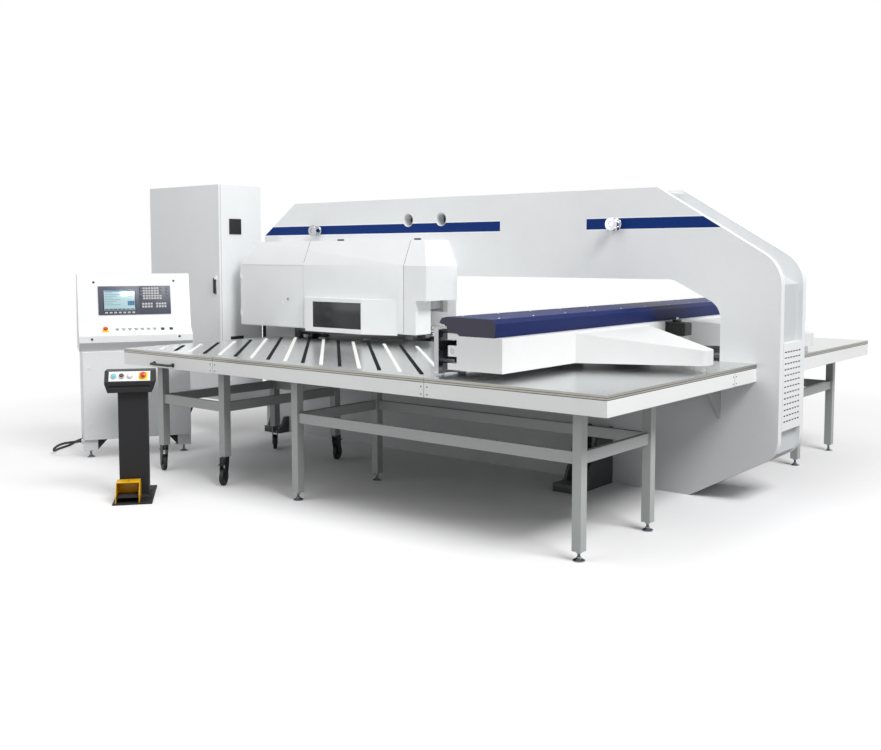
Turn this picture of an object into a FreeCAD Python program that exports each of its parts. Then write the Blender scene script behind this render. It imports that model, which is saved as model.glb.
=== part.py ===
"""Turret punch press with two sheet tables, an operator console and a foot-pedal stand.

X runs across the press with +X towards the console side, +Y runs from the operator's end
to the rear, and +Z is up. The origin is the middle of the press frame's base on the floor.
"""
import FreeCAD, Part
import Sketcher
import math
import os

Vector = FreeCAD.Vector
doc = FreeCAD.newDocument("TurretPunchPress")
sheet = doc.addObject("Spreadsheet::Sheet", "Sizes")

# alias, millimetres (or a count, or degrees), what it is
DRIVING_SIZES = [
    ("frame_length", 5020, "press frame, nose to tail"),
    ("frame_height", 2150, "floor to the frame's top"),
    ("frame_width", 460, "over both side plates"),
    ("frame_plate", 60, "thickness of a side plate"),
    ("nose_height", 1860, "where the nose starts to slope back"),
    ("nose_run", 423, "length of the nose slope seen from above"),
    ("tail_run", 900, "length of the tail slope seen from above"),
    ("tail_height", 1611, "where the tail slope meets the rear edge"),
    ("tail_round", 250, "radius at the top of the rear edge"),
    ("heel_run", 621, "length of the cut under the tail"),
    ("heel_height", 345, "height of the cut under the tail"),
    ("heel_round", 170, "radius at the foot of the rear edge"),
    ("window_floor", 760, "lower edge of the frame's window"),
    ("window_top", 1505, "upper edge of the frame's window"),
    ("window_rear", 2095, "rear edge of the window from mid-length"),
    ("window_front", 640, "front edge of the tall window, towards the nose"),
    ("window_slope", 354, "length of the window's sloped corner"),
    ("window_drop", 180, "height of the window's sloped corner"),
    ("window_round", 140, "radius in the window's rear corner"),
    ("window_corner", 25, "inner radius of the window's square corners"),
    ("slot_top", 1180, "upper edge of the turret slot"),
    ("slot_front", 2110, "front edge of the turret slot, towards the nose"),
    ("web", 30, "thickness of the plates between the side plates"),
    ("web_recess", 40, "how far those plates lie inside the outline"),
    ("end_web_top", 1478, "top of the rear end plate"),
    ("step_drop", 157, "frame's top down to the sloped plate of the tail"),
    ("lifting_hole", 57.5, "radius of the holes for the lifting bar"),
    ("lifting_drop", 180, "frame's top down to the lifting holes"),
    ("lifting_front", 700, "front lifting hole, towards the nose"),
    ("lifting_spacing", 358, "between the lifting holes"),
    ("lug_drop", 253, "frame's top down to the lifting lugs"),
    ("lug_front", 1785, "front lifting lug, towards the nose"),
    ("lug_rear", 1286, "rear lifting lug, towards the tail"),
    ("lug_radius", 34, "neck of a lifting lug"),
    ("lug_length", 78, "length of a lifting lug"),
    ("vent_bottom", 505, "lower edge of the vent panel"),
    ("vent_top", 1091, "upper edge of the vent panel"),
    ("vent_depth", 42, "depth of the vent panel's tray"),
    ("vent_rows", 13, "rows of slots in the vent panel"),
    ("vent_columns", 6, "slots in each row"),
    ("anchor_length", 205, "length of an anchor foot along the frame"),
    ("anchor_thick", 58, "thickness of an anchor foot"),
    ("anchor_short", 130, "how far the front feet stand out"),
    ("anchor_long", 498, "how far the rear feet stand out"),
    ("anchor_bolt", 82, "from the frame to the anchor holes"),
    ("anchor_hole", 13, "radius of an anchor hole"),
    ("anchor_front", 2300, "front anchor feet, towards the nose"),
    ("anchor_rear", 1182, "rear anchor feet, towards the tail"),
    ("turret_axis", 1424, "turret axis, from mid-length towards the nose"),
    ("turret_radius", 610, "both turret discs"),
    ("turret_thick", 60, "both turret discs"),
    ("station_radius", 520, "pitch radius of the tool stations"),
    ("station_count", 8, "tool stations"),
    ("station_bore", 38, "radius of a station's bore"),
    ("pass_line", 962, "height of the sheet"),
    ("throat", 38, "from the sheet to the upper turret"),
    ("die_height", 28, "dies above the lower disc"),
    ("punch_height", 34, "punch holders above the upper disc"),
    ("turret_shaft", 70, "radius of the turret shafts"),
    ("turret_pulley", 150, "radius of the pulleys on the turret shafts"),
    ("index_pulley", 75, "radius of the pulleys on the index shaft"),
    ("index_axis", 2310, "index shaft, from mid-length towards the nose"),
    ("index_shaft", 30, "radius of the index shaft"),
    ("index_foot", 562, "floor to the lower end of the index shaft"),
    ("belt_width", 36, "width of an index belt"),
    ("belt_thick", 6, "thickness of an index belt"),
    ("bearing_width", 280, "housing of a turret bearing"),
    ("ram_radius", 60, "piston rod over the punching station"),
    ("ram_stroke", 30, "working stroke of the ram"),
    ("cover_face", 623, "face of the turret cover from the mid-plane"),
    ("cover_front", 2405, "front end of the turret cover, towards the nose"),
    ("cover_rear", 175, "rear end of the turret cover"),
    ("cover_far_rear", 850, "rear end of the cover on the far side"),
    ("cover_bottom", 1038, "lower edge of the turret cover"),
    ("cover_eaves", 1590, "height where the cover's roof starts"),
    ("cover_top", 1797, "top of the cover's roof"),
    ("cover_hip", 92, "how far the roof leans in"),
    ("cover_sheet", 4, "sheet thickness of the turret cover"),
    ("cheek_top", 1312, "top of the cut-out at the cover's rear"),
    ("cheek_rear", 283, "rear end of the cover below the cut-out"),
    ("cheek_inner", 436, "inner face of the cover below the cut-out"),
    ("door_seam", 1572, "rear edge of the tool door"),
    ("door_depth", 18, "depth of the tool door"),
    ("hood_reach", 79, "how far the window hood stands out"),
    ("hood_front", 1467, "front end of the hood's face"),
    ("hood_rear", 802, "rear end of the hood's face"),
    ("hood_taper", 322, "length of the hood's slanted rear side"),
    ("hood_bottom", 1024, "lower edge of the hood"),
    ("hood_top", 1313, "upper edge of the hood"),
    ("window_low", 1062, "lower edge of the viewing window"),
    ("window_high", 1281, "upper edge of the viewing window"),
    ("table_top", 953, "height of the sheet tables"),
    ("table_plate", 30, "thickness of the table plates"),
    ("table_reach", 2206, "outer edge of the tables from the mid-plane"),
    ("table_front", 1910, "front edge of the tables, towards the nose"),
    ("table_rear", 2355, "rear edge of the tables"),
    ("table_seam", 1123, "seam between slatted and plain plate"),
    ("module_seam", 835, "seam in front of the roll-away table"),
    ("inner_seam", 633, "seam beside the frame"),
    ("seam_gap", 2, "gap in a seam"),
    ("member_height", 60, "height of the table frames' members"),
    ("cross_width", 40, "width of the cross members"),
    ("skirt_height", 90, "skirt under the table plates"),
    ("skirt_thick", 20, "folded depth of the skirt"),
    ("leg_width", 60, "square tube of the legs"),
    ("outer_leg", 2050, "outer legs from the mid-plane"),
    ("inner_leg", 1250, "inner legs of the fixed table"),
    ("rear_leg", 2100, "rear legs"),
    ("middle_leg", 130, "middle legs, towards the nose"),
    ("module_inner_leg", 915, "inner legs of the roll-away table"),
    ("module_front_leg", 1630, "its front legs, towards the nose"),
    ("module_rear_leg", 900, "its rear legs, towards the nose"),
    ("leg_bottom", 55, "floor to the fixed legs"),
    ("castor_leg_bottom", 208, "floor to the legs on castors"),
    ("rail_bottom", 535, "lower edge of the leg rails"),
    ("rail_height", 69, "height of the leg rails"),
    ("strip_width", 24, "sliding strips on the tables"),
    ("strip_height", 4, "strips above the plate"),
    ("strip_step", 174, "from strip to strip, along an edge"),
    ("strip_short", 128, "width of the shortest strip, in the table's front corner"),
    ("strip_count", 17, "strips on each table"),
    ("strip_inset", 131, "from the outer edge to the strips"),
    ("strip_front", 1740, "front ends of the strips, towards the nose"),
    ("strip_inner", 655, "inner ends of the strips from the mid-plane"),
    ("foot_radius", 35, "levelling feet"),
    ("handle_length", 245, "bow handle on the roll-away table"),
    ("handle_centre", 1405, "middle of the bow handle, towards the nose"),
    ("handle_height", 862, "height of the bow handle"),
    ("handle_reach", 45, "how far the bow handle stands out"),
    ("handle_radius", 9, "bar of the bow handle"),
    ("wheel_radius", 62.5, "castor wheels"),
    ("wheel_width", 30, "castor wheels"),
    ("castor_trail", 38, "from a castor's stem to its axle"),
    ("castor_stem", 8, "radius of a castor's stem"),
    ("axle_radius", 6, "castor axles"),
    ("beam_half", 2086, "half length of the cross beam"),
    ("beam_bottom", 996, "underside of the cross beam"),
    ("beam_top", 1198, "top of the cross beam"),
    ("beam_rear", 1605, "rear face of the cross beam"),
    ("beam_web", 1276, "front face of the cross beam"),
    ("beam_lip", 1207, "front edge of the cross beam's lips"),
    ("beam_lip_height", 38, "height of a lip"),
    ("beam_wall", 16, "wall of the cross beam"),
    ("rail_size", 34, "width of the linear rails"),
    ("rail_stand", 36, "how far the X rails stand out"),
    ("block_size", 66, "linear bearing blocks"),
    ("carriage_front", 1104, "front face of the carriage plate"),
    ("carriage_thick", 34, "carriage plate"),
    ("carriage_bottom", 966, "lower edge of the carriage plate"),
    ("carriage_top", 1232, "upper edge of the carriage plate"),
    ("carriage_length", 1672, "carriage plate"),
    ("x_travel", 2500, "travel of the carriage"),
    ("y_travel", 1250, "travel of the cross beam"),
    ("clamp_spacing", 560, "from clamp to clamp"),
    ("clamp_width", 90, "sheet clamps"),
    ("clamp_reach", 144, "how far a clamp stands out"),
    ("screw_radius", 20, "ball screw behind the carriage"),
    ("arm_tip", 2330, "rear end of the beam's outriggers"),
    ("arm_centre", 900, "tip of an outrigger from the mid-plane"),
    ("arm_outer", 1295, "outer root of an outrigger"),
    ("arm_inner", 322, "inner root of an outrigger"),
    ("arm_tip_top", 1090, "top of an outrigger at its tip"),
    ("arm_root_top", 1185, "top of an outrigger at the beam"),
    ("y_rail_centre", 200, "Y rails from the mid-plane"),
    ("y_rail_height", 22, "Y rails above the window's floor"),
    ("y_block_width", 56, "legs of the beam on the Y rails"),
    ("cabinet_inner", 243, "cabinet, from the mid-plane"),
    ("cabinet_width", 504, "cabinet across the press"),
    ("cabinet_front", 3602, "far face of the cabinet, towards the operator"),
    ("cabinet_length", 1049, "cabinet along the press"),
    ("cabinet_bottom", 400, "floor to the cabinet"),
    ("cabinet_top", 2324, "floor to the cabinet's top"),
    ("cabinet_wall", 15, "folded walls of the cabinet"),
    ("cabinet_door", 22, "depth of the cabinet's door"),
    ("gland_across", 520, "cable gland in the cabinet's floor, from the mid-plane"),
    ("gland_front", 3250, "the same gland, towards the nose"),
    ("console_half", 452, "half width of the console's head"),
    ("console_body", 433, "half width of the console's body"),
    ("console_depth", 470, "depth of the console's body"),
    ("console_low", 150, "floor to the console's body"),
    ("console_waist", 886, "top of the console's body"),
    ("console_top", 1517, "top of the console's head"),
    ("console_lip", 70, "how far the desk stands out"),
    ("unit_width", 583, "control unit in the console"),
    ("unit_low", 1180, "lower edge of the control unit"),
    ("unit_high", 1415, "upper edge of the control unit"),
    ("stand_base_width", 260, "base plate of the pedal stand"),
    ("stand_base_length", 541, "base plate of the pedal stand"),
    ("stand_column", 194, "width of the stand's column"),
    ("stand_head", 330, "width of the stand's head"),
    ("stand_top", 886, "height of the stand's head"),
    ("button_radius", 15, "push buttons"),
    ("estop_radius", 20, "emergency stop heads"),
    ("cable_radius", 10, "cable between console and cabinet"),
    ("fit", 0.3, "clearance between pieces that move past each other"),
    ("running", 0.05, "radial clearance of a shaft in its bore"),
]

for row, (alias, value, meaning) in enumerate(DRIVING_SIZES, 1):
    sheet.set("A%d" % row, alias)
    sheet.set("B%d" % row, str(value))
    sheet.set("C%d" % row, meaning)
    sheet.setAlias("B%d" % row, alias)
doc.recompute()


# ---------------------------------------------------------------- sizes as formulas

def formula(number):
    """The spreadsheet formula of a number, or the number itself in words."""
    return getattr(number, "formula", "(%.9g)" % float(number))


class Length(float):
    """A number that carries the spreadsheet formula it comes from."""

    def __new__(cls, number, text):
        length = float.__new__(cls, number)
        length.formula = text
        return length

    def __add__(self, other):
        return Length(float(self) + float(other), "(%s + %s)" % (self.formula, formula(other)))

    def __sub__(self, other):
        return Length(float(self) - float(other), "(%s - %s)" % (self.formula, formula(other)))

    def __mul__(self, other):
        return Length(float(self) * float(other), "(%s * %s)" % (self.formula, formula(other)))

    def __truediv__(self, other):
        return Length(float(self) / float(other), "(%s / %s)" % (self.formula, formula(other)))

    def __radd__(self, other):
        return Length(float(other) + float(self), "(%s + %s)" % (formula(other), self.formula))

    def __rsub__(self, other):
        return Length(float(other) - float(self), "(%s - %s)" % (formula(other), self.formula))

    def __rmul__(self, other):
        return Length(float(other) * float(self), "(%s * %s)" % (formula(other), self.formula))

    def __neg__(self):
        return Length(-float(self), "(0 - %s)" % self.formula)


class SizeTable:
    """Every driving size by its name."""

    def __init__(self):
        for alias, _, _ in DRIVING_SIZES:
            setattr(self, alias, Length(float(sheet.get(alias)), "Sizes." + alias))


S = SizeTable()


def bind(thing, path, number):
    """Set a property, and tie it to the sheet where the number comes from there."""
    if hasattr(number, "formula"):
        thing.setExpression(path, number.formula)
    elif path.startswith("."):
        return
    else:
        setattr(thing, path, number)


def put(thing, x, y, z, rotation=None):
    """Place an object, with each coordinate tied to the sheet."""
    thing.Placement = FreeCAD.Placement(Vector(x, y, z), rotation or FreeCAD.Rotation())
    for path, number in ((".Placement.Base.x", x), (".Placement.Base.y", y), (".Placement.Base.z", z)):
        bind(thing, path, number)


# ---------------------------------------------------------------- building blocks

ALONG = {
    "X": FreeCAD.Rotation(Vector(0, 0, 1), Vector(1, 0, 0)),
    "-X": FreeCAD.Rotation(Vector(0, 0, 1), Vector(-1, 0, 0)),
    "Y": FreeCAD.Rotation(Vector(0, 0, 1), Vector(0, 1, 0)),
    "-Y": FreeCAD.Rotation(Vector(0, 0, 1), Vector(0, -1, 0)),
    "Z": FreeCAD.Rotation(),
}


def box(name, x, y, z):
    """A box between two X, two Y and two Z coordinates."""
    solid = doc.addObject("Part::Box", name)
    for side, (low, high) in zip(("Length", "Width", "Height"), (x, y, z)):
        bind(solid, side, high - low)
    put(solid, x[0], y[0], z[0])
    return solid


def rod(name, radius, length, x, y, z, axis="Z"):
    """A cylinder that starts at a point and runs along an axis."""
    solid = doc.addObject("Part::Cylinder", name)
    bind(solid, "Radius", radius)
    bind(solid, "Height", length)
    put(solid, x, y, z, ALONG[axis])
    return solid


def fuse(name, pieces):
    """One solid from pieces that meet."""
    joined = doc.addObject("Part::MultiFuse", name)
    joined.Shapes = pieces
    joined.Refine = True
    return joined


def cut(name, base, tools):
    """A piece with other pieces taken out of it."""
    if len(tools) > 1:
        tool = doc.addObject("Part::Compound", name + "_tools")
        tool.Links = tools
    else:
        tool = tools[0]
    result = doc.addObject("Part::Cut", name)
    result.Base = base
    result.Tool = tool
    return result


def common(name, first, second):
    """What two pieces share."""
    result = doc.addObject("Part::Common", name)
    result.Base = first
    result.Tool = second
    return result


def group(name, pieces):
    """Separate like solids that share one node."""
    result = doc.addObject("Part::Compound", name)
    result.Links = pieces
    return result


def mirrored(name, piece):
    """The same piece on the other side of the press's mid-plane."""
    result = doc.addObject("Part::Mirroring", name)
    result.Source = piece
    result.Normal = Vector(1, 0, 0)
    return result


PLANES = {"XY": ("XY_Plane", 0, 1), "XZ": ("XZ_Plane", 0, 2), "YZ": ("YZ_Plane", 1, 2)}


def draw(body, plane, start, loops, circles):
    """A fully dimensioned sketch of closed polygons and circles on a plane of the body."""
    sketch = body.newObject("Sketcher::SketchObject", body.Name + "_sketch")
    role = PLANES[plane][0]
    sketch.AttachmentSupport = [([f for f in body.Origin.OriginFeatures if f.Role == role][0], "")]
    sketch.MapMode = "FlatFace"
    sketch.AttachmentOffset = FreeCAD.Placement(Vector(0, 0, start), FreeCAD.Rotation())
    bind(sketch, ".AttachmentOffset.Base.z", start)
    for loop in loops:
        first = sketch.GeometryCount
        for index, (u, v) in enumerate(loop):
            after = loop[(index + 1) % len(loop)]
            sketch.addGeometry(Part.LineSegment(Vector(u, v, 0), Vector(after[0], after[1], 0)), False)
        for index in range(len(loop)):
            following = first + (index + 1) % len(loop)
            sketch.addConstraint(Sketcher.Constraint("Coincident", first + index, 2, following, 1))
            fix_point(sketch, first + index, 1, loop[index])
    for u, v, radius in circles:
        ring = sketch.addGeometry(Part.Circle(Vector(u, v, 0), Vector(0, 0, 1), radius), False)
        fix_point(sketch, ring, 3, (u, v))
        number = sketch.addConstraint(Sketcher.Constraint("Radius", ring, float(radius)))
        bind(sketch, "Constraints[%d]" % number, radius) if hasattr(radius, "formula") else None
    return sketch


def fix_point(sketch, geometry, point, place):
    """Hold a sketch point at its two coordinates."""
    for name, axis, number in (("DistanceX", -2, place[0]), ("DistanceY", -1, place[1])):
        if abs(float(number)) < 1e-9:
            sketch.addConstraint(Sketcher.Constraint("PointOnObject", geometry, point, axis))
            continue
        held = sketch.addConstraint(Sketcher.Constraint(name, -1, 1, geometry, point, float(number)))
        if hasattr(number, "formula"):
            sketch.setExpression("Constraints[%d]" % held, number.formula)


def prism(name, plane, start, depth, outline, holes=(), circles=()):
    """A body padded from an outline; it fills start to start + depth across the plane."""
    body = doc.addObject("PartDesign::Body", name)
    level = -(start + depth) if plane == "XZ" else start
    sketch = draw(body, plane, level, [outline] + list(holes), circles)
    pad = body.newObject("PartDesign::Pad", name + "_pad")
    pad.Profile = sketch
    bind(pad, "Length", depth)
    return body


def round_corners(body, plane, corners, radius):
    """Round the edges of a body that cross the plane at the given corners."""
    doc.recompute()
    _, u, v = PLANES[plane]
    base = body.Tip
    picked = []
    for number, edge in enumerate(base.Shape.Edges, 1):
        ends = [vertex.Point for vertex in edge.Vertexes]
        for corner in corners:
            if len(ends) == 2 and all(abs(p[u] - corner[0]) + abs(p[v] - corner[1]) < 0.001 for p in ends):
                picked.append("Edge%d" % number)
    fillet = body.newObject("PartDesign::Fillet", body.Name + "_round")
    fillet.Base = (base, picked)
    bind(fillet, "Radius", radius)
    return body


NODES = []


def node(label, thing, place=None):
    """Name a finished piece, and put it where its assembly stands."""
    thing.Label = label
    if place:
        put(thing, *place)
    NODES.append(thing)
    return thing


def span(centre, width):
    """The two coordinates of something this wide around its centre."""
    return (centre - width / 2, centre + width / 2)


HALF_LENGTH = S.frame_length / 2
HALF_WIDTH = S.frame_width / 2
INNER = HALF_WIDTH - S.frame_plate
BETWEEN = (-INNER, INNER)
TURRET_Y = -S.turret_axis
RAM_Y = S.station_radius - S.turret_axis
INDEX_Y = -S.index_axis
SLOT_WEB = S.slot_top + S.web
FLOOR_WEB = S.window_floor - S.web


# ---------------------------------------------------------------- press frame

def main_frame():
    """Two profiled side plates with webs between them, and the cabinet's bracket."""
    tail = HALF_LENGTH - S.tail_run
    nose = S.nose_run - HALF_LENGTH
    outline = [(-HALF_LENGTH, 0), (-HALF_LENGTH, S.nose_height), (nose, S.frame_height),
               (tail, S.frame_height), (HALF_LENGTH, S.tail_height), (HALF_LENGTH, S.heel_height),
               (HALF_LENGTH - S.heel_run, 0)]
    slope_top = S.window_rear - S.window_slope
    slope_foot = S.window_top - S.window_drop
    window = [(-S.slot_front, S.window_floor), (S.window_rear, S.window_floor),
              (S.window_rear, slope_foot), (slope_top, S.window_top), (-S.window_front, S.window_top),
              (-S.window_front, S.slot_top), (-S.slot_front, S.slot_top)]
    rear_hole = S.lifting_spacing - S.lifting_front
    lifting_height = S.frame_height - S.lifting_drop
    holes = [(-S.lifting_front, lifting_height, S.lifting_hole),
             (rear_hole, lifting_height, S.lifting_hole)]
    plate = prism("side_plate", "YZ", INNER, S.frame_plate, outline, [window], holes)
    round_corners(plate, "YZ", [outline[4]], S.tail_round)
    round_corners(plate, "YZ", [outline[5]], S.heel_round)
    round_corners(plate, "YZ", [window[2], window[3]], S.window_round)
    round_corners(plate, "YZ", [window[0], window[1], window[4], window[6]], S.window_corner)
    inset = S.window_corner
    fields = [
        ("sill", (-HALF_LENGTH, HALF_LENGTH), (0, S.window_floor)),
        ("front", (-HALF_LENGTH, inset - S.slot_front), (S.window_floor, S.frame_height)),
        ("nose", (inset - S.slot_front, inset - S.window_front), (S.slot_top, S.frame_height)),
        ("roof", (inset - S.window_front, slope_top), (S.window_top - inset, S.frame_height)),
        ("tail", (slope_top, HALF_LENGTH), (slope_foot, S.frame_height)),
        ("rear", (S.window_rear - inset, HALF_LENGTH), (S.window_floor, slope_foot)),
    ]
    pieces = []
    for name, along, height in fields:
        field = box("side_field_" + name, (INNER, HALF_WIDTH), along, height)
        part = common("side_" + name, plate, field)
        pieces += [part, mirrored("side_%s_far" % name, part)]

    recess = S.web_recess - 10
    front = recess - HALF_LENGTH
    roof = S.frame_height - recess
    nose_web = [(front, S.nose_height - 48), (front, S.nose_height - 18), (nose, roof), (nose, roof - S.web)]
    pieces.append(prism("nose_web", "YZ", -INNER, INNER * 2, nose_web))
    end_top = S.end_web_top
    step = S.frame_height - S.step_drop
    tail_web = [(tail, step), (HALF_LENGTH - S.web_recess, end_top),
                (HALF_LENGTH - S.web_recess, end_top - S.web), (tail, step - S.web)]
    pieces.append(prism("tail_web", "YZ", -INNER, INNER * 2, tail_web))
    heel = HALF_LENGTH - S.heel_run - S.web_recess
    heel_web = [(heel, 0), (HALF_LENGTH - S.web_recess, S.heel_height),
                (HALF_LENGTH - S.web_recess, S.heel_height + 34), (heel, 34)]
    pieces.append(prism("heel_web", "YZ", -INNER, INNER * 2, heel_web))
    corner_web = [(slope_top - 12, S.window_top + 30), (S.window_rear + 30, slope_foot + 10),
                  (S.window_rear + 60, slope_foot + 10), (S.window_rear + 60, slope_foot + 30),
                  (slope_top - 4, S.window_top + 60), (slope_top - 12, S.window_top + 60)]
    pieces.append(prism("corner_web", "YZ", -INNER, INNER * 2, corner_web))

    rear = HALF_LENGTH - S.web_recess
    hatch = -S.window_front - 60
    throat = -S.slot_front - 30
    webs = [
        ("floor_web", (front, heel), (0, S.web)),
        ("front_web", (front, front + S.web), (S.web, S.nose_height - 48)),
        ("top_web", (nose, tail), (roof - S.web, roof)),
        ("step_web", (tail - S.web, tail), (step - S.web, roof - S.web)),
        ("end_web", (rear - S.web, rear), (S.heel_height + 34, end_top - S.web)),
        ("window_rear_web", (S.window_rear + 30, S.window_rear + 60), (FLOOR_WEB, slope_foot + 10)),
        ("window_top_web", (hatch, slope_top - 12), (S.window_top + 30, S.window_top + 60)),
        ("window_front_web", (hatch, hatch + 30), (SLOT_WEB + S.web, S.window_top + 30)),
    ]
    for name, along, height in webs:
        pieces.append(box(name, BETWEEN, along, height))
    wide = S.turret_shaft * 2 + 12
    floor = box("window_floor_plate", BETWEEN, (throat, S.window_rear + 60), (FLOOR_WEB - S.web, FLOOR_WEB))
    tools = [box("lower_turret_hole", span(0, wide), span(TURRET_Y, wide), (FLOOR_WEB - 45, FLOOR_WEB + 5))]
    pieces.append(cut("window_floor_web", floor, tools))
    slot = box("slot_plate", BETWEEN, (throat, hatch + 30), (SLOT_WEB, SLOT_WEB + S.web))
    tools = [box("turret_hole", span(0, wide), span(TURRET_Y, wide), (SLOT_WEB - 5, SLOT_WEB + 45)),
             box("ram_hole", span(0, 264), span(RAM_Y, 264), (SLOT_WEB - 5, SLOT_WEB + 45))]
    pieces.append(cut("slot_web", slot, tools))
    shelf = box("index_plate", BETWEEN, (front + S.web, throat + 20), (SLOT_WEB - 20, SLOT_WEB))
    tools = [rod("index_hole", S.index_shaft + S.running, 60, 0, INDEX_Y, SLOT_WEB - 40)]
    pieces.append(cut("index_web", shelf, tools))
    carrier = box("motor_plate", BETWEEN, (front + S.web, throat), (600, 620))
    tools = [box("motor_hole", span(0, 80), span(INDEX_Y, 80), (590, 630))]
    pieces.append(cut("motor_web", carrier, tools))

    arm_top = S.cabinet_bottom
    arm_end = -(S.cabinet_front)
    outer = S.cabinet_inner + S.cabinet_width
    tube_front = 10 - HALF_LENGTH
    pieces.append(box("bracket_tube", (HALF_WIDTH, outer), (tube_front, tube_front + 60),
                      (arm_top - 80, arm_top)))
    for number, centre in enumerate((S.cabinet_inner + 67, outer - 67)):
        pieces.append(box("bracket_arm_%d" % number, span(centre, 60), (arm_end, tube_front),
                          (arm_top - 80, arm_top)))
    node("main_frame", group("frame_plates", pieces))


def frame_details():
    """Lifting lugs, the rear vent panel and the feet."""
    level = S.frame_height - S.lug_drop
    lugs = []
    for number, along in enumerate((-S.lug_front, S.lug_rear)):
        neck = rod("lug_neck_%d" % number, S.lug_radius, S.lug_length, HALF_WIDTH, along, level, "X")
        head_start = HALF_WIDTH + S.lug_length - 20
        head = rod("lug_head_%d" % number, S.lug_radius + 16, 20, head_start, along, level, "X")
        lugs.append(fuse("lug_%d" % number, [neck, head]))
    node("lifting_lugs", group("lifting_lugs_group", lugs + [mirrored(l.Name + "_far", l) for l in lugs]))

    face = HALF_LENGTH - S.web_recess
    tray = box("vent_tray", (1 - INNER, INNER - 1), (face, face + S.vent_depth),
               (S.vent_bottom, S.vent_top))
    hollow = box("vent_hollow", (3 - INNER, INNER - 3), (face - 1, face + S.vent_depth - 2),
                 (S.vent_bottom + 2, S.vent_top - 2))
    slots = [hollow]
    rows = int(S.vent_rows)
    columns = int(S.vent_columns)
    for row in range(rows):
        height = S.vent_bottom + 60 + (S.vent_top - S.vent_bottom - 120) * row / (rows - 1)
        for column in range(columns):
            centre = (INNER - 45) * (2 * column / (columns - 1) - 1)
            slots.append(box("vent_slot_%d_%d" % (row, column), span(centre, 34),
                             (face + S.vent_depth - 5, face + S.vent_depth + 5), span(height, 9)))
    node("rear_vent_panel", cut("vent_panel_body", tray, slots))


def feet():
    """Anchor blocks beside the frame, and levelling feet under the fixed legs and the console."""
    solids = []
    feet_sizes = ((-S.anchor_front, S.anchor_short, 150), (S.anchor_rear, S.anchor_long, 420))
    for number, (along, reach, rise) in enumerate(feet_sizes):
        slab = box("anchor_%d" % number, (HALF_WIDTH, HALF_WIDTH + reach), span(along, S.anchor_length),
                   (0, S.anchor_thick))
        rib = [(HALF_WIDTH, S.anchor_thick - 1), (HALF_WIDTH + reach * 0.72, S.anchor_thick - 1),
               (HALF_WIDTH + reach * 0.52, S.anchor_thick + rise * 0.4), (HALF_WIDTH + reach * 0.4, rise),
               (HALF_WIDTH, rise)]
        ribs = []
        for side, start in enumerate((along - S.anchor_length / 2, along + S.anchor_length / 2 - 25)):
            ribs.append(prism("anchor_rib_%d_%d" % (number, side), "XZ", start, 25, rib))
        hole = rod("anchor_hole_%d" % number, S.anchor_hole, 90, HALF_WIDTH + S.anchor_bolt, along, -10)
        body = fuse("anchor_body_%d" % number, [slab] + ribs)
        solids.append(cut("anchor_foot_%d" % number, body, [hole]))
    legs = [(S.outer_leg, S.rear_leg), (S.inner_leg, S.rear_leg),
            (S.outer_leg, -S.middle_leg), (S.inner_leg, -S.middle_leg)]
    for number, (x, y) in enumerate(legs):
        solids.append(levelling_foot("foot_%d" % number, x, y, S.leg_bottom))
    far = [(S.outer_leg, -S.module_front_leg), (S.module_inner_leg, -S.module_front_leg)]
    front = [levelling_foot("far_foot_%d" % n, -x, y, S.leg_bottom) for n, (x, y) in enumerate(far)]
    console = []
    for number, (x, y) in enumerate(console_legs()):
        console.append(levelling_foot("console_foot_%d" % number, x, y, 62))
    under = group("console_feet", console)
    put(under, *CONSOLE)
    both = solids + [mirrored(solid.Name + "_far", solid) for solid in solids]
    node("levelling_feet", group("levelling_feet_group", both + front + [under]))


def levelling_foot(name, x, y, top):
    """An eight-sided pad on a six-sided stem."""
    sides = []
    for part, count, radius, height in (("pad", 8, S.foot_radius, 12), ("stem", 6, 10, top)):
        piece = doc.addObject("Part::Prism", "%s_%s" % (name, part))
        piece.Polygon = count
        bind(piece, "Circumradius", radius)
        bind(piece, "Height", height)
        put(piece, x, y, 0)
        sides.append(piece)
    return fuse(name, sides)


# ---------------------------------------------------------------- ram and turret

def ram_unit():
    """The hydraulic cylinder between the side plates, and its piston rod."""
    barrel = rod("ram_barrel", 130, 520, 0, RAM_Y, S.slot_top)
    flange = box("ram_flange", span(0, 320), span(RAM_Y, 320), (SLOT_WEB + S.web, SLOT_WEB + S.web + 30))
    bore = rod("ram_bore", S.ram_radius, 380, 0, RAM_Y, S.slot_top - 1)
    node("ram_cylinder", cut("ram_cylinder_body", fuse("ram_housing", [barrel, flange]), [bore]))
    rest = S.pass_line + S.throat + S.turret_thick + S.punch_height + S.ram_stroke + 3
    shaft = rod("ram_rod", S.ram_radius - S.running, 370, 0, RAM_Y, rest)
    node("ram", shaft)


def station_places():
    """Where the tool stations stand, the first of them under the ram."""
    count = int(S.station_count)
    for number in range(count):
        angle = math.radians(90 + 360 * number / count)
        yield number, S.station_radius * math.cos(angle), S.station_radius * math.sin(angle) + TURRET_Y


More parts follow.
